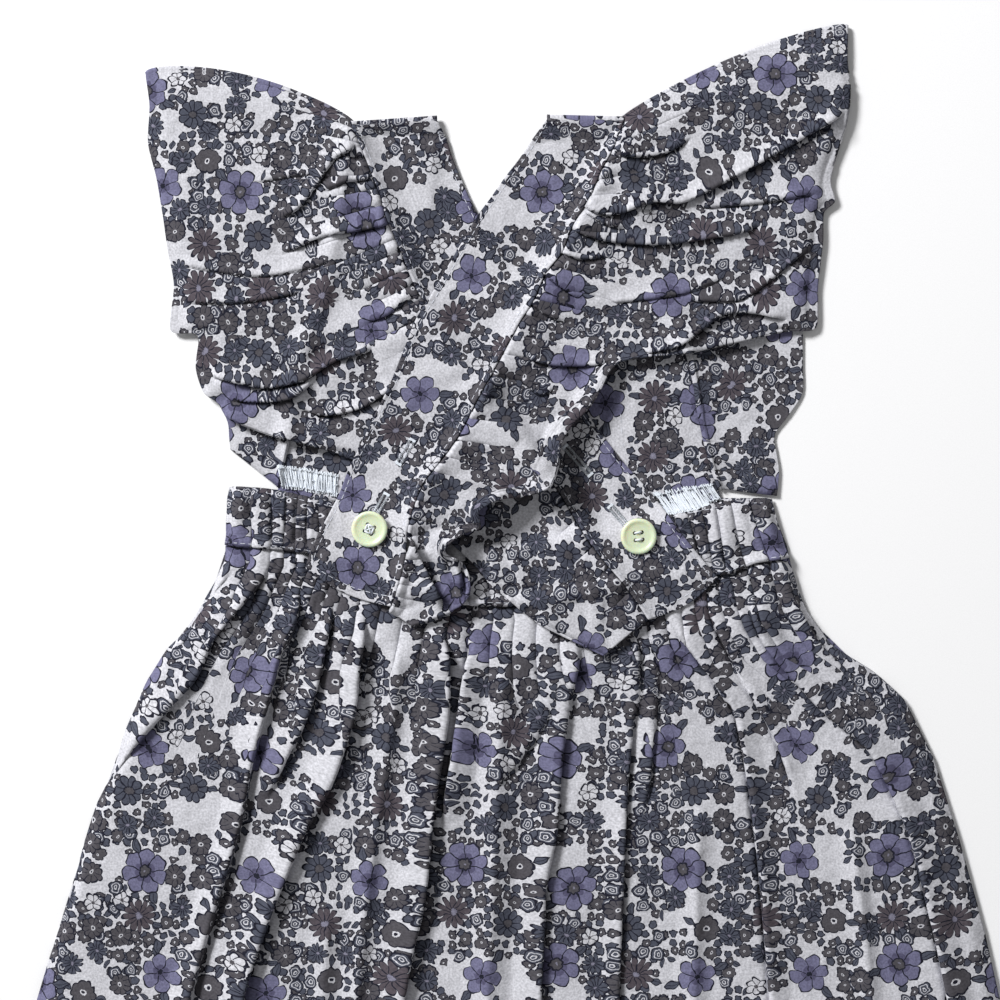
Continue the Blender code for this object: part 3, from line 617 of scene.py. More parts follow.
def crest(plan, fold, fade_in=30.0, fade_out=40.0):
    """Height that one fold gives to each plan place, and how far its lip leans over."""
    height, left, right, *points = fold
    path = at(points, np.linspace(0.0, 1.0, 4 * len(points)))
    reach = left + right
    near = np.all((plan > path.min(axis=0) - reach) & (plan < path.max(axis=0) + reach), axis=-1)
    spots = plan[near]
    best = np.full(len(spots), np.inf)
    side, run, aside = np.zeros(len(spots)), np.zeros(len(spots)), np.zeros((len(spots), 2))
    begun = 0.0
    for start, end in zip(path, path[1:]):
        length = np.linalg.norm(end - start)
        way = (end - start) / length
        normal = np.array([-way[1], way[0]])
        step = np.clip((spots - start) @ way, 0.0, length)
        off = spots - start - step[:, None] * way
        far = np.linalg.norm(off, axis=-1)
        nearer = far < best
        best = np.where(nearer, far, best)
        side = np.where(nearer, off @ normal, side)
        run = np.where(nearer, begun + step, run)
        aside = np.where(nearer[:, None], normal, aside)
        begun += length
    width = np.where(side > 0.0, left, right)
    ends = eased(run / fade_in)
    if path[-1, 1] < TO_HEM:
        ends = ends * eased((begun - run) / fade_out)
    share = best / width
    gentle = height * np.clip(1.0 - share, 0.0, 1.0) ** 1.6
    groove = min(GROOVE * height, DEEPEST)
    steep = (height + groove) * eased(1.0 - share) - groove * eased(1.0 - (share - 1.0) / 1.3)
    toward = float(left < STEEP) - float(right < STEEP)
    behind = eased(1.0 - best / LEANING)
    lip = LEAN * height * np.where(width < STEEP, eased(1.0 - share), behind)
    high, push = np.zeros(plan.shape[:-1]), np.zeros(plan.shape)
    high[near] = np.where(width < STEEP, steep, gentle) * ends
    push[near] = (toward * lip * ends)[:, None] * aside
    return high, push


class Stack:
    """Top of the cloth already laid, in mm above the table, on a grid over the plan."""

    def __init__(self):
        self.top = np.zeros([int((last - first) / CELL) + 1 for first, last in (MAP_Y, MAP_X)])

    def cells(self, plan):
        """Row and column of the map at each plan place."""
        row = np.rint((plan[..., 1] - MAP_Y[0]) / CELL).astype(int)
        col = np.rint((plan[..., 0] - MAP_X[0]) / CELL).astype(int)
        rows, columns = self.top.shape
        return np.clip(row, 0, rows - 1), np.clip(col, 0, columns - 1)

    def under(self, plan, reach):
        """Highest cloth within reach of each plan place."""
        high = self.top
        for axis in (0, 1):
            near = [np.roll(high, shift, axis) for shift in range(-reach, reach + 1)]
            high = np.max(near, axis=0)
        return high[self.cells(plan)]

    def add(self, plan, high):
        """Raises the map to the top of a sheet given as rows of plan places and heights."""
        spots = np.concatenate([plan, high[..., None] + SHELL], -1)
        a, b, c, d = spots[:-1, :-1], spots[:-1, 1:], spots[1:, :-1], spots[1:, 1:]
        longest = max(np.linalg.norm((a - e)[..., :2], axis=-1).max() for e in (b, c))
        shares = np.linspace(0.0, 1.0, int(longest / CELL) + 2)
        for u in shares:
            for v in shares:
                spot = (a * (1 - u) + b * u) * (1 - v) + (c * (1 - u) + d * u) * v
                np.maximum.at(self.top, self.cells(spot), spot[..., 2])


def resting(bound, pull=0.03, rounds=150):
    """Cloth held up by the bound and drawn level between its high places."""
    high = bound.copy()
    for _ in range(rounds):
        edge = np.pad(high, 1, mode="edge")
        level = (edge[:-2, 1:-1] + edge[2:, 1:-1] + edge[1:-1, :-2] + edge[1:-1, 2:]) / 4.0
        high = np.maximum(bound, level - pull)
    return high


def softened(high, rounds):
    """A height field with its corners rubbed off."""
    for _ in range(rounds):
        edge = np.pad(high, 1, mode="edge")
        high = (
            4.0 * high
            + edge[:-2, 1:-1] + edge[2:, 1:-1] + edge[1:-1, :-2] + edge[1:-1, 2:]
        ) / 8.0
    return high


def place(plan, high):
    """World coordinates of plan places at heights in mm."""
    plan, high = np.asarray(plan, float), np.asarray(high, float)
    x, y = (plan[..., 0] - CENTRE[0]) * UNIT, (CENTRE[1] - plan[..., 1]) * UNIT
    return np.stack([x, y, high * MM], -1)


def linked(name, data):
    """A new object in the scene."""
    obj = bpy.data.objects.new(name, data)
    bpy.context.scene.collection.objects.link(obj)
    return obj


def mesh_object(name, points, faces, material):
    """A smooth mesh."""
    mesh = bpy.data.meshes.new(name)
    mesh.from_pydata(points.tolist(), [], faces)
    mesh.materials.append(material)
    mesh.polygons.foreach_set("use_smooth", np.ones(len(faces), bool))
    return linked(name, mesh)


def facing_up(points, faces, sample):
    """The faces, all turned round if the sample looks down."""
    one, two, three = points[faces[sample, :3]]
    return faces if np.cross(two - one, three - two)[2] >= 0.0 else faces[:, ::-1]


def shell(name, points, faces, cloth):
    """Cloth with its inner face on the points, and the place of each point on the cloth."""
    obj = mesh_object(name, points, faces.tolist(), PRINT)
    layer = obj.data.uv_layers.new(name="cloth")
    layer.uv.foreach_set("vector", cloth[faces.ravel()].astype(np.float32).ravel())
    outer = obj.modifiers.new("cloth", "SOLIDIFY")
    outer.thickness, outer.offset = SHELL * MM, 1.0
    return obj


def cloth_sheet(name, plan, high, cloth):
    """A thin shell from rows of plan places, heights of its inner face and cloth places."""
    rows, columns = plan.shape[:2]
    number = np.arange(rows * columns).reshape(rows, columns)
    faces = np.stack(
        [number[:-1, :-1], number[:-1, 1:], number[1:, 1:], number[1:, :-1]], -1
    ).reshape(-1, 4)
    points = place(plan, high).reshape(-1, 3)
    return shell(name, points, facing_up(points, faces, -columns // 2), cloth.reshape(-1, 2))


def rungs(table, rows, columns):
    """Plan places between the seam and the hem of a ruffle or the edges of a strap."""
    taken = at([row[:4] for row in table], rows)
    t = columns[..., None]
    return taken[..., :2] * (1.0 - t) + taken[..., 2:] * t


def strap_line(table, tip):
    """Plan places of a seam down one edge of a strap, across its end and up the other."""
    down, over = np.linspace(0.02, 0.98, 160), np.linspace(STRAP_SEAM, 1.0 - STRAP_SEAM, 40)
    rows = np.concatenate([down, np.full(40, down[-1]), down[::-1]])
    shares = np.concatenate([np.full(160, over[0]), over, np.full(160, over[-1])])
    line = rungs(table, rows[:, None], shares[:, None])[:, 0]
    before, end = rungs(table, np.array([[0.9], [1.0]]), np.full((2, 1), 0.5))[:, 0]
    way = (end - before) / np.linalg.norm(end - before)
    point = tip * np.sin(np.pi * shares) * (rows > 0.97)
    return line + point[:, None] * way


def run_lengths(points):
    """Distance run along each column of a grid of points, or along one row of them."""
    steps = np.linalg.norm(np.diff(points, axis=0), axis=-1)
    return np.concatenate([np.zeros((1,) + steps.shape[1:]), np.cumsum(steps, axis=0)])


# ---- cloth pieces ----


def flat_grid(outline, step):
    """Corners of a fine triangle net that fills an outline."""
    edge = []
    for a, b in zip(outline, outline[1:] + outline[:1]):
        a, b = np.asarray(a, float), np.asarray(b, float)
        count = max(1, int(np.linalg.norm(b - a) / step))
        edge += [a + (b - a) * k / count for k in range(count)]
    edge = np.array(edge)
    low, high = edge.min(axis=0), edge.max(axis=0)
    x, y = np.meshgrid(np.arange(low[0], high[0], step), np.arange(low[1], high[1], step))
    inner = np.stack([x.ravel(), y.ravel()], -1)
    inside = np.zeros(len(inner), bool)
    for a, b in zip(edge, np.roll(edge, -1, axis=0)):
        crosses = (a[1] > inner[:, 1]) != (b[1] > inner[:, 1])
        where = a[0] + (inner[:, 1] - a[1]) * (b[0] - a[0]) / (b[1] - a[1] + 1e-9)
        inside ^= crosses & (inner[:, 0] < where)
    inner = inner[inside]
    gap = np.array([np.min(np.abs(edge - p).max(axis=1)) for p in inner])
    points = np.concatenate([edge, inner[gap > step * 0.4]])
    loop = list(range(len(edge)))
    found = geometry.delaunay_2d_cdt([Vector(p) for p in points], [], [loop], 1, 1e-6)
    return np.array([tuple(v) for v in found[0]]), np.array(found[2])


def ripple(plan, size):
    """Soft unevenness of cloth that lies flat, from 0 to 1."""
    x, y = plan[..., 0] / size, plan[..., 1] / size
    wave = np.sin(x + 1.7 * np.sin(0.6 * y)) + np.sin(1.3 * y + 1.1 * np.sin(0.9 * x + 2.0))
    return 0.5 + 0.25 * wave


def lay_flat(name, outline, step, loft, spot):
    """A panel that lies flat on the table, cut to an outline."""
    plan, faces = flat_grid(list(outline), step)
    high = loft * ripple(plan, size=34.0)
    points = place(plan, high)
    faces = facing_up(points, faces, 0)
    for share in np.linspace(0.0, 1.0, 5):
        for corner in range(3):
            spots = plan[faces[:, corner]] * (1 - share) + plan[faces].mean(axis=1) * share
            top = high[faces[:, corner]] * (1 - share) + high[faces].mean(axis=1) * share
            np.maximum.at(stack.top, stack.cells(spots), top + SHELL)
    return shell(name, points, faces, (plan + np.array(spot)) * UNIT)


def skirt_front_outline():
    """The front skirt, just inside the back skirt's sides."""
    levels = np.array([546, 580, 620, 660, 700, 760, 840, 930, 1020, 1110, 1180])
    left = [(along(SIDE_LEFT, y) + 1.0, y) for y in levels]
    right = [(along(SIDE_RIGHT, y) - 1.0, y) for y in levels]
    waist = [(x, FRONT_WAIST_Y) for x in np.linspace(*FRONT_WAIST_X, 15)]
    return waist + right + list(HEM)[::-1] + left[::-1]


def shifted(plan, phase, fade, seed):
    """Places on the cloth: flat as seen, but each gather hides a little cloth beside it."""
    rng = np.random.default_rng(seed)
    jumps = rng.uniform(-HIDDEN, HIDDEN, (400, 2))
    number = np.floor(np.broadcast_to(phase, plan.shape[:2])).astype(int)
    return (plan + jumps[number] * np.broadcast_to(fade, plan.shape[:2])[..., None]) * UNIT


def steep_room(plan, high, axis, window):
    """How far cloth places shift along one axis, in plan units, for the print to keep its
    scale on steep stretches; over a longer way than the window the shifts even out."""
    step = np.diff(plan, axis=axis)
    flat = np.linalg.norm(step, axis=-1)
    extra = np.hypot(flat, np.diff(high, axis=axis) * MM / UNIT) - flat
    run = np.moveaxis(np.cumsum(extra, axis=axis), axis, 0)
    run = np.concatenate([np.zeros((1,) + run.shape[1:]), run])
    kernel = np.hanning(window) / np.hanning(window).sum()
    padded = np.pad(run, ((window // 2, window // 2), (0, 0)), mode="edge")
    trend = np.stack([np.convolve(line, kernel, "valid") for line in padded.T], 1)
    shift = np.moveaxis(run - trend, 0, axis)
    way = step / np.maximum(flat, 0.05)[..., None]
    way = np.concatenate([way, np.take(way, [-1], axis)], axis)
    return shift[..., None] * way


def gathered(phase, swing):
    """Share of the way along a gathered edge: cloth crowds into the valleys."""
    ends = np.asarray(GATHER_ENDS)
    whole = np.minimum(np.floor(phase), len(ends) - 2)
    part = phase - whole
    moved = part - swing * np.sin(2.0 * np.pi * part) / (2.0 * np.pi)
    first, last = ends[whole.astype(int)], ends[whole.astype(int) + 1]
    return first + (last - first) * moved


def lay_skirt_back():
    """The back skirt: pleat-like gathers that fade below the waist, and the long folds."""
    columns, rows = SKIRT_GRID
    count = len(GATHER_ENDS) - 1
    phase = np.linspace(0.0, count, columns)[None]
    down = (np.linspace(0.0, 1.0, rows) ** 1.3)[:, None]
    rng = np.random.default_rng(11)
    reach = 0.10 + 0.22 * rng.random(count + 1)
    tall = 2.4 + 2.2 * rng.random(count + 1)
    whole = np.arange(count + 1) + 0.5
    reach, tall = np.interp(phase, whole, reach), np.interp(phase, whole, tall)
    hold = 1.0 - eased(down / reach)
    swing = 0.8 * (0.35 + 0.65 * hold) * (1.0 - eased(down / 0.7))
    share = gathered(phase + 0.0 * down, swing)
    even = phase / count
    spread = share + (even - share) * eased(down / 0.6)
    waist = across(BAND_FOOT, spread[0])
    y_waist = along(BAND_FOOT, waist) - TUCK
    y_left = y_waist[0] + (HEM[0][1] - y_waist[0]) * down
    y_right = y_waist[-1] + (HEM[-1][1] - y_waist[-1]) * down
    left, right = along(SIDE_LEFT, y_left), along(SIDE_RIGHT, y_right)
    x = left + (right - left) * spread
    y = y_waist + (along(HEM, x[-1]) - y_waist) * down
    plan = np.stack([x, y], -1)
    ridge = np.abs(np.sin(np.pi * phase)) ** 0.6
    small = np.abs(np.sin(np.pi * (2.31 * phase + 0.2))) * 0.7 * (1.0 - eased(down / 0.09))
    gathers = tall * ridge * hold + small
    ridges, grooves = np.zeros_like(x), np.zeros_like(x)
    lean = np.zeros_like(plan)
    opened = eased(down / 0.1)
    for fold in SKIRT_FOLDS:
        rise, push = crest(plan, fold)
        risen = np.maximum(rise, 0.0)
        ridges = np.maximum(ridges, risen) + 0.25 * np.minimum(ridges, risen)
        grooves = np.minimum(grooves, rise)
        lean += push * opened[..., None]
    folds = (ridges + grooves) * (0.35 + 0.65 * opened)
    loft = 2.2 * opened + 0.9 * ripple(plan, size=41.0) * eased(down / 0.3)
    raised = softened(loft + gathers + folds, 1)
    side = eased(np.minimum(spread, 1.0 - spread) / 0.018) ** 0.7
    start = eased(down / 0.015)
    high = stack.under(plan, 2) + GAP * (0.3 + 0.7 * side) + side * (0.3 + 0.7 * start) * raised
    room = steep_room(plan, high, axis=1, window=41)
    cloth = shifted(plan + room, phase, 1.0 - eased(down / 0.45), seed=21)
    plan = plan + lean
    stack.add(plan, high)
    return cloth_sheet("Skirt_back", plan, high, cloth)


def lay_waistband():
    """The back waistband, puckered into ribs by the elastic in it."""
    columns, rows = BAND_GRID
    count = len(GATHER_ENDS) - 1
    phase = np.linspace(0.0, count, columns)[None]
    down = np.linspace(0.0, 1.0, rows)[:, None]
    share = gathered(phase, swing=0.6) + 0.0 * down
    x_top, x_foot = across(BAND_TOP, share), across(BAND_FOOT, share)
    y = along(BAND_TOP, x_top) * (1.0 - down) + along(BAND_FOOT, x_foot) * down
    plan = np.stack([x_top * (1.0 - down) + x_foot * down, y], -1)
    rng = np.random.default_rng(5)
    tall = np.interp(phase, np.arange(count + 1) + 0.5, 1.8 + 1.5 * rng.random(count + 1))
    bend = 0.16 * np.sin(3.0 * down + 1.3 * phase)
    rib = tall * np.abs(np.sin(np.pi * (phase + bend))) ** 0.8
    rib = rib + 0.5 * np.abs(np.sin(np.pi * (2.7 * phase + bend)))
    puff = 0.55 + 0.6 * np.sin(np.pi * down) ** 0.6
    round_edge = eased(np.minimum(down, 1.0 - down) / 0.10) ** 0.6
    side = eased(np.minimum(share, 1.0 - share) / 0.02)
    edge = 0.4 + 0.6 * round_edge
    high = softened(stack.under(plan, 2), 3) + GAP * 0.6 + side * edge * (0.5 + rib * puff)
    room = steep_room(plan, high, axis=1, window=31)
    cloth = shifted(plan + room, phase, fade=1.0, seed=22) + np.array([0.7, 0.3])
    stack.add(plan, high)
    return cloth_sheet("Waistband_back", plan, high, cloth)


def mirrored(places, start, way):
    """Places reflected over the line from start along way."""
    off = places - start
    return start + 2.0 * (off @ way)[..., None] * way - off


def round_fold(low_plan, low_high, plan, high, rows):
    """The turn of cloth round the fold at a shoulder, and the whole piece: its low layer,
    the turn and its high layer, which is laid here, drawn back a little from the rim."""
    rim = plan[0]
    plan = plan + np.clip(1.0 - rows / 0.05, 0.0, 1.0)[:, None, None] * (0.0, FOLD_BACK)
    angles = np.linspace(0.0, np.pi, TURN_ROWS + 2)[1:-1]
    middle, half = (low_high[-1] + high[0]) / 2.0, (high[0] - low_high[-1]) / 2.0
    base = (low_plan[-1] + plan[0]) / 2.0
    turn = np.stack([base + (rim - base) * np.sin(a) for a in angles])
    turn_high = np.stack([middle - half * np.cos(a) for a in angles])
    stack.add(plan, high)
    whole = np.concatenate([low_plan, turn, plan])
    return turn, whole, np.concatenate([low_high, turn_high, high])


def strip_rows(rows, columns, count, crowd):
    """Where each row of a ruffle meets each column, with cloth crowded into the valleys."""
    hold = crowd * (1.0 - eased(columns / 0.75))[None]
    phase = rows[:, None] * count
    return np.clip(rows[:, None] - hold * np.sin(2.0 * np.pi * phase) / (2.0 * np.pi * count), 0, 1)


def ruffle_wave(rows, columns, count, seed):
    """Height of the gathers: close and sharp at the seam, wide and low towards the hem."""
    rng = np.random.default_rng(seed)
    knots = np.arange(count + 2)
    tall = np.interp(rows * count, knots, 0.7 + 1.0 * rng.random(count + 2))[:, None]
    reach = np.interp(rows * count, knots, 0.14 + 0.4 * rng.random(count + 2))[:, None]
    t = columns[None]
    ridge = np.abs(np.sin(np.pi * rows * count))[:, None] ** 0.6
    fine = np.abs(np.sin(np.pi * (rows * count * 2.37 + 0.3)))[:, None]
    close = tall * 1.9 * ridge * (1.0 - eased(t / reach))
    close = (close + 0.9 * fine * (1.0 - eased(t / 0.14))) * eased(t / 0.035)
    sway = 2.0 * np.pi * (rows * count / 2.6) + 1.4 * np.sin(rows * 17.0 + seed)
    wide = (0.5 + 0.5 * np.sin(sway))[:, None] * (0.9 + 0.5 * np.sin(rows * 7.0 + seed))[:, None]
    return close + 0.6 * wide * eased(t / 0.6)


def bulge(rows, columns, bow, reach):
    """How far the cloth near a shoulder fold bows up towards the shoulders."""
    lift = bow * np.sin(np.pi * np.clip(columns, 0.0, 1.0)) ** 0.6
    return eased(1.0 - rows / reach)[:, None] * lift[None]


def even_rows(table, count):
    """Shares of a ruffle's table whose rungs are evenly spaced over the cloth."""
    rows = np.linspace(0.0, 1.0, 400)
    middles = rungs(table, rows[:, None], np.full((400, 1), 0.6))[:, 0]
    run = run_lengths(middles)
    return np.interp(np.linspace(0.0, run[-1], count), run, rows)


def hem_inward(table, rows):
    """The way square to a ruffle's hem, back over the cloth, at each row."""
    seam, hem = (rungs(table, rows[:, None], np.full((len(rows), 1), t))[:, 0] for t in (0.0, 1.0))
    window = np.hanning(15) / np.hanning(15).sum()
    ways = [np.convolve(np.pad(np.gradient(run), 7, mode="edge"), window, "valid") for run in hem.T]
    inward = np.stack([-ways[1], ways[0]], -1)
    inward *= np.sign(np.sum(inward * (seam - hem), axis=-1, keepdims=True))
    return inward / np.linalg.norm(inward, axis=-1, keepdims=True)


def front_half(table, columns, tucked, bow, count, seed):
    """The layer of a ruffle that is laid first: its places, heights and cloth places."""
    rows = even_rows(table, RUFFLE_ROWS[0])
    crowded = strip_rows(rows, columns, count, crowd=0.85)
    plan = rungs(table, crowded, tucked[None] + 0.0 * rows[:, None])
    plan[..., 1] -= bulge(1.0 - rows, columns, bow, reach=0.25)
    plan[-1, :, 1] += 2.0
    near_fold = eased(1.0 - (1.0 - rows) / 0.2)[:, None]
    wave = ruffle_wave(rows, columns, count, seed) * (1.0 - near_fold)
    high = 0.75 * stack.under(plan, 2) + 0.1 + SHELL + 0.7 * softened(wave, 2)
    stack.add(plan, high - SHELL)
    cloth = shifted(plan, (rows * count)[:, None], 1.0 - eased(columns / 0.7), seed)
    return plan, high, cloth


def lay_ruffle(name, front, back, creases, bow, gathers, seed, spot):
    """One ruffle strip: its front layer on the table, a fold, then its back layer."""
    columns = np.linspace(0.0, 1.0, RUFFLE_COLUMNS)
    columns = columns - 0.07 * np.sin(2.0 * np.pi * columns)
    tucked = columns - (1.0 - eased(columns / 0.3)) * 0.022
    low_plan, low_high, below = front_half(front, columns, tucked, bow, gathers[0], seed)

    rows = even_rows(back, RUFFLE_ROWS[1])
    count = gathers[1]
    rise, folded = at([row[4:] or (0, 0) for row in back], rows).T[..., None]
    bend = 1.0 - TURN * eased(rise / 2.5)
    over = np.clip((columns - bend) / (1.0 - bend + 1e-6), 0.0, 1.0) * (rise > 0.0)
    plan = rungs(back, strip_rows(rows, columns, count, crowd=0.9), np.minimum(tucked / bend, 1.0))
    plan[..., 1] -= bulge(rows, columns, bow, reach=0.2)
    back_over = (over * folded)[..., None] * hem_inward(back, rows)[:, None]
    unfolded = plan - 1.1 * back_over
    plan = plan + back_over
    wave = softened(ruffle_wave(rows, columns, count, seed + 1), 1)
    folds, lean = np.zeros(plan.shape[:-1]), np.zeros(plan.shape)
    inside = 1.0 - eased((columns[:, None] - 0.85) / 0.12)
    for crease in creases:
        high, push = crest(plan, crease, fade_in=8.0, fade_out=20.0)
        folds, lean = folds + high, lean + push * inside
    away = eased(rows / 0.03)[:, None]
    rest = softened(resting(stack.under(plan, 2) + GAP), 2)
    loft = 1.7 * eased(columns / 0.035) * (1.0 - eased((columns - 0.9) / 0.1))
    hem = HEM_ROLL * eased((columns - 0.965) / 0.008)
    lifted = rise * eased(1.0 - (bend - columns) / 0.2) + 0.9 * np.minimum(rise, 1.0) * over**0.3
    body = np.maximum(loft + (wave + folds) * (1.0 - over), 0.0)
    high = rest + 0.3 + away * (hem + body + lifted)
    room = steep_room(plan, high, axis=0, window=25)
    unfolded = unfolded + room * (1.0 - over)[..., None]
    above = shifted(unfolded, (rows * count)[:, None], 1.0 - eased(columns / 0.7), seed + 40)

    plan = plan + lean
    turn, whole, whole_high = round_fold(low_plan, low_high, plan, high, rows)
    start, end = plan[0, 0], plan[0, -1]
    fold = (end - start) / np.linalg.norm(end - start)
    below, bent = (mirrored(cloth, start * UNIT, fold) for cloth in (below, turn * UNIT))
    bent[TURN_ROWS // 2 :] = turn[TURN_ROWS // 2 :] * UNIT
    cloth = np.concatenate([below, bent, above]) + (0.0, spot)
    return cloth_sheet(name, whole, whole_high, cloth)


def lay_strap(name, table, tip, spot):
    """A strap from its seam with the bib, round the fold at the shoulder, to its end."""
    width, count = STRAP_GRID
    columns, rows = np.linspace(0.0, 1.0, width), np.linspace(0.0, 1.0, count)
    plan = rungs(table, np.tile(rows[:, None], (1, width)), np.tile(columns, (count, 1)))
    way = plan[-1] - plan[-2]
    way /= np.linalg.norm(way, axis=-1, keepdims=True)
    point = (tip * np.sin(np.pi * columns))[None, :, None] * way
    plan = plan + point * eased((rows - 0.9) / 0.1)[:, None, None]
    bound = softened(stack.under(plan, 1), 2) + 0.4 * GAP
    high = softened(resting(bound, pull=0.012, rounds=260), 4)
    edge = np.minimum(columns, 1.0 - columns)[None]
    high = high + 0.25 * (1.0 - eased(edge / 0.1))
    high = high + 0.3 * ripple(plan, size=19.0) * eased(edge / 0.2)
    high = np.maximum(high, (SHELL + 2.6) * eased(1.0 - rows / 0.08)[:, None])
    centre = plan.mean(axis=1)
    forward = np.gradient(centre, axis=0)
    forward /= np.linalg.norm(forward, axis=-1, keepdims=True)
    aside = np.stack([-forward[:, 1], forward[:, 0]], -1)
    off = plan - centre[:, None]
    u = np.einsum("rcx,rx->rc", off, aside)
    v = run_lengths(centre)[:, None] + np.einsum("rcx,rx->rc", off, forward)
    steps = np.linspace(STRAP_RETURN, FOLD_BACK, RETURN_ROWS)
    low_plan = plan[0] + steps[:, None, None] * (0.0, 1.0)
    low_high = np.full(low_plan.shape[:2], SHELL + 0.5)
    turn, whole, whole_high = round_fold(low_plan, low_high, plan, high, rows)
    back = np.concatenate([-steps - FOLD_BACK, np.linspace(-FOLD_BACK, 0.0, len(turn))])
    u = np.concatenate([np.tile(u[0], (len(back), 1)), u])
    v = np.concatenate([np.tile(back[:, None], (1, width)), v])
    return cloth_sheet(name, whole, whole_high, np.stack([u, v], -1) * UNIT + spot)


# ---- sewing and buttons ----


def taken_at(spots, run, places):
    """Places between those given, at spots of their run."""
    return np.stack([np.interp(spots, run, part) for part in places.T], -1)


def way_along(points, spacing):
    """Places every spacing plan units along a polyline."""
    table = np.asarray(points, float)
    run = run_lengths(table)
    return taken_at(np.linspace(0.0, run[-1], max(2, int(run[-1] / spacing) + 1)), run, table)


def stitches(points, long=5.6, gap=2.2, step=0.8):
    """Runs of plan places, one for each stitch of a seam that goes along the points."""
    fine = way_along(points, step)
    period = int(round((long + gap) / step))
    stitch = int(round(long / step)) + 1
    return [fine[k : k + stitch : 3] for k in range(0, len(fine) - stitch, period)]


def buttonhole(ends):
    """Zigzag legs along both sides of a slit, and a bar across each end."""
    start, end = (np.asarray(point, float) for point in ends)
    way = (end - start) / np.linalg.norm(end - start)
    aside = np.array([-way[1], way[0]])
    legs = np.arange(2 * int(np.linalg.norm(end - start) / WORKED_PITCH) + 1)
    near, far = WORKED_REACH
    runs = []
    for side in (-1.0, 1.0):
        out = side * np.where(legs % 2, far, near)
        runs.append(start + (legs * 0.5)[:, None] * WORKED_PITCH * way + out[:, None] * aside)
    for tip, sign in ((start, -1.0), (end, 1.0)):
        for step in BAR_STEPS:
            middle = tip + sign * step * way
            runs.append(np.array([middle - far * aside, middle, middle + far * aside]))
    return [np.column_stack([run, np.full(len(run), WORKED_LIFT)]) for run in runs]


def between(upper, lower, spots, down):
    """Places at shares of the way along two edges and down from the one to the other."""
    top, foot = (taken_at(spots, np.linspace(0, 1, len(edge)), edge) for edge in (upper, lower))
    return top * (1.0 - down) + foot * down


def overlock(edges, seed):
    """Close loops of thread over the raw edge of a seam allowance, with its needle rows."""
    rng = np.random.default_rng(seed)
    upper, lower = (way_along(edge, 1.0) for edge in edges)
    count = int(len(upper) * LOOPS)
    drop = np.array([0.0, 0.5, 1.0])[:, None]
    runs = []
    for k in range(count):
        share = np.clip((k + np.array(LOOP)) / count, 0.0, 1.0)
        share = np.clip(share + rng.normal(0.0, 0.006, 3), 0.0, 1.0)
        run = between(upper, lower, share, drop) + rng.normal(0.0, STRAY, (3, 2))
        runs.append(np.column_stack([run, [0.25, 0.75 + 0.3 * rng.random(), 0.25]]))
    for down in NEEDLE_ROWS:
        line = between(upper, lower, np.linspace(0, 1, count), down)
        line[:, 1] += 0.9 * np.where(np.arange(count) % 2, 1.0, -1.0)
        runs.append(np.column_stack([line, np.full(count, 0.8)]))
    return runs


def thread(name, runs, width=TOPSTITCH, colour=None):
    """Threads on the cloth laid so far, from runs of plan places, with heights over it."""
    curve = bpy.data.curves.new(name, "CURVE")
    curve.dimensions = "3D"
    curve.bevel_depth, curve.bevel_resolution = width / 2.0 * MM, 1
    curve.use_fill_caps = True
    curve.materials.append(colour or THREAD)
    for run in runs:
        plan = np.asarray(run, float)
        lift = plan[:, 2] if plan.shape[1] == 3 else np.zeros(len(plan))
        spots = place(plan[:, :2], stack.top[stack.cells(plan[:, :2])] + lift)
        spline = curve.splines.new("POLY")
        spline.points.add(len(spots) - 1)
        spline.points.foreach_set("co", np.column_stack([spots, np.ones(len(spots))]).ravel())
    obj = linked(name, curve)
    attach(obj, "root")
    return obj


def lathe(name, profile, centre, segments):
    """A turned body about a centre: rings of the profile, all in mm, closed at both ends."""
    turns = np.arange(segments) * 2.0 * np.pi / segments
    points = np.array([(r * np.cos(a), r * np.sin(a), z) for r, z in profile for a in turns])
    points = (points + (*centre, 0.0)) * MM
    count = len(profile)
    faces = [
        (r * segments + k, r * segments + (k + 1) % segments,
         (r + 1) * segments + (k + 1) % segments, (r + 1) * segments + k)
        for r in range(count - 1)
        for k in range(segments)
    ]
    faces.append(tuple(reversed(range(segments))))
    faces.append(tuple((count - 1) * segments + k for k in range(segments)))
    return mesh_object(name, points, faces, BUTTON)


def lay_button(name, node, x, y, turn, lean):
    """A button with a raised rim, a sunk middle and four drilled holes."""
    ring = np.linspace(0.0, 2.0 * np.pi, 24, endpoint=False)
    spots = np.stack([np.cos(ring), np.sin(ring)], -1) * BUTTON_FOOT + (x, y)
    foot = float(np.percentile(stack.top[stack.cells(spots)], FOOT_SHARE)) + 0.1
    button = lathe(name, BUTTON_PROFILE, (0.0, 0.0), BUTTON_SIDES)
    for angle in turn + np.arange(4) * np.pi / 2.0:
        hole = (HOLE_PITCH * np.cos(angle), HOLE_PITCH * np.sin(angle))
        drill = lathe(f"{name}_drill", DRILL, hole, HOLE_SIDES)
        cut = button.modifiers.new("hole", "BOOLEAN")
        cut.operation, cut.solver, cut.object = "DIFFERENCE", "EXACT", drill
    bpy.context.view_layer.update()
    graph = bpy.context.evaluated_depsgraph_get()
    drilled = bpy.data.meshes.new_from_object(button.evaluated_get(graph))
    button.modifiers.clear()
    button.data = drilled
    for drill in [o for o in bpy.data.objects if o.name.startswith(f"{name}_drill")]:
        bpy.data.objects.remove(drill)
    drilled.set_sharp_from_angle(angle=SHARP)
    button.location = place((x, y), foot)
    button.rotation_euler = lean
    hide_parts(node)
    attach(button, "root")
    return foot


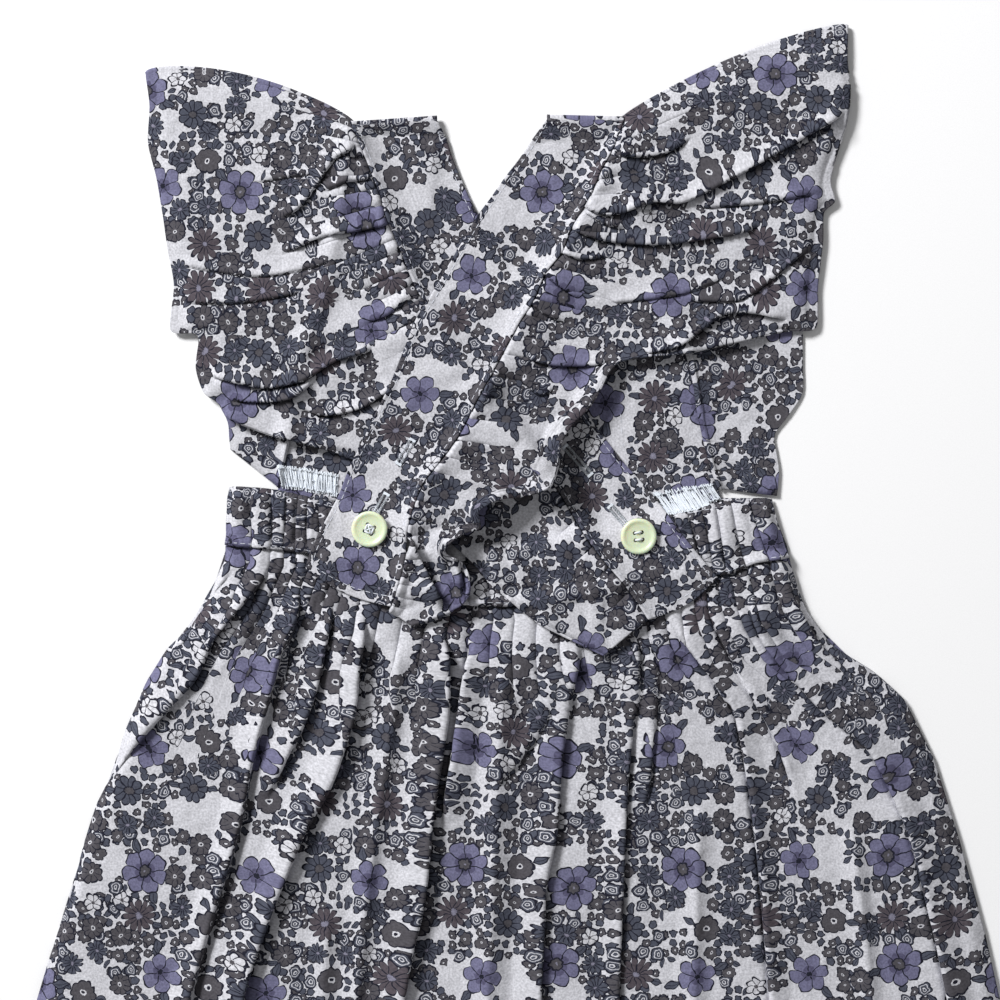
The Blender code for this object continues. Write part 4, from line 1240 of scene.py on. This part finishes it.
def sew_button(name, x, y, turn, foot, pairs, strands):
    """Strands of thread over a button between the holes of each pair."""
    rng = np.random.default_rng(len(name))
    runs = []
    for pair in np.tile(pairs, (strands, 1)):
        angles = turn + pair * np.pi / 2.0
        holes = np.stack([np.cos(angles), -np.sin(angles)], -1) * HOLE_PITCH * MM / UNIT
        holes = holes + (x, y) + rng.normal(0.0, STRAY, (2, 2))
        share = np.linspace(0.0, 1.0, 7)[:, None]
        line = holes[0] + (holes[1] - holes[0]) * share
        arch = 0.6 + (1.5 + 0.3 * rng.random()) * np.sin(np.pi * share[:, 0]) ** 0.4
        runs.append(np.column_stack([line, foot + arch - stack.top[stack.cells(line)]]))
    return thread(name, runs, TIED, OVERLOCK)


# ---- the dress ----


def declared(obj, node):
    """Hides the solid that a cloth piece stands for and attaches the piece to the root body."""
    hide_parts(node)
    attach(obj, "root")


def sewn_ruffle(side, front, back, creases, bow, gathers, seed, spot):
    """A ruffle, its solid hidden and the ruffle attached to the root body."""
    ruffle = lay_ruffle(f"Ruffle_{side}", front, back, creases, bow, gathers, seed, spot)
    declared(ruffle, f"ruffle_{side}")


def sewn_strap(side, table, tip, spot, holes):
    """A strap with its topstitching and its two buttonholes, its solid hidden and the strap
    attached to the root body.
    """
    strap = lay_strap(f"Strap_{side}", table, tip, spot)
    sewn = thread(f"Strap_{side}_stitches", stitches(strap_line(table, tip)))
    legs = [run for ends in holes for run in buttonhole(ends)]
    worked = thread(f"Strap_{side}_buttonholes", legs, WORKED, OVERLOCK)
    declared(
        strap, f"strap_{side}",
    )


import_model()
PRINT = print_material()
THREAD = plain_material("thread", srgb(205, 208, 218), 0.7)
OVERLOCK = plain_material("overlock_thread", srgb(216, 222, 230), 0.75)
BUTTON = plain_material("button", srgb(232, 230, 190), 0.3, Subsurface_Weight=0.3)

stack = Stack()
bib = lay_flat("Bodice_front", BODICE_OUTLINE, step=6.0, loft=0.9, spot=(300.0, 900.0))
bib_thread = thread("Bib_stitches", stitches(BIB_STITCHES))
declared(bib, "bodice_front")
skirt_front = lay_flat(
    "Skirt_front", skirt_front_outline(), step=8.0, loft=0.8, spot=(2000.0, 300.0)
)
declared(skirt_front, "skirt_front")
skirt_back = lay_skirt_back()
declared(skirt_back, "skirt_back")
band = lay_waistband()
casing = [
    stitch
    for edge, lift in ((BAND_TOP, 4.0), (BAND_FOOT, -3.0))
    for stitch in stitches([(x, y + lift) for x, y in edge])
]
band_thread = thread("Waistband_stitches", casing)
declared(
    band, "waistband_back",
)
sewn_ruffle(
    "left", RUFFLE_LEFT_FRONT, RUFFLE_LEFT_BACK, LEFT_CREASES, bow=22.0, gathers=(15, 26),
    seed=3, spot=1.3,
)
overlocks = [
    thread("Overlock_left", overlock(OVERLOCK_LEFT, 1), LOOPED, OVERLOCK),
    thread("Overlock_right", overlock(OVERLOCK_RIGHT, 2), LOOPED, OVERLOCK),
]
sewn_strap("left", STRAP_LEFT, tip=8.0, spot=(0.2, 1.9), holes=HOLES_LEFT)
sewn_ruffle(
    "right", RUFFLE_RIGHT_FRONT, RUFFLE_RIGHT_BACK, RIGHT_CREASES, bow=16.0, gathers=(11, 30),
    seed=8, spot=2.6,
)
sewn_strap("right", STRAP_RIGHT, tip=7.0, spot=(0.7, 2.2), holes=HOLES_RIGHT)
for side, x, y, turn, lean, pairs, strands in BUTTONS:
    foot = lay_button(f"Button_{side}", f"button_{side}", x, y, turn, lean)
    sew_button(f"Button_{side}_thread", x, y, turn, foot, pairs, strands)

# ---- table, camera and light ----

TABLE = 9.0  # half the table top's width, m
DROP = 0.0005  # m from the dress down to the table top
EYE = (500.0, 500.0, 0.949)  # the camera's plan place and its height in m
LIGHTS = (  # name, place, size, watts
    ("key", (-1.6, 1.5, 1.65), 0.7, 108.0),
    ("fill", (1.5, -0.9, 1.8), 2.2, 3.0),
)
SKY = 0.26  # strength of the even light from all round

corners = [(x * TABLE, y * TABLE, -DROP) for x, y in ((-1, -1), (1, -1), (1, 1), (-1, 1))]
white = plain_material("table", srgb(240, 240, 241), 0.8)
mesh_object("table_top", np.array(corners), [(0, 1, 2, 3)], white)

lens = bpy.data.cameras.new("camera")
lens.lens, lens.sensor_width, lens.clip_end = 85.0, 36.0, 50.0
camera = linked("camera", lens)
camera.location = ((EYE[0] - CENTRE[0]) * UNIT, (CENTRE[1] - EYE[1]) * UNIT, EYE[2])
bpy.context.scene.camera = camera

for name, spot, size, watts in LIGHTS:
    lamp = bpy.data.lights.new(name, "AREA")
    lamp.size, lamp.energy = size, watts
    holder = linked(name, lamp)
    holder.location = spot
    holder.rotation_euler = (-Vector(spot)).to_track_quat("-Z", "Y").to_euler()
world = bpy.data.worlds.new("studio")
world.use_nodes = True
sky = world.node_tree.nodes["Background"].inputs
sky[0].default_value, sky[1].default_value = (1.0, 1.0, 1.0, 1.0), SKY
bpy.context.scene.world = world
bpy.context.scene.view_settings.view_transform = "Standard"
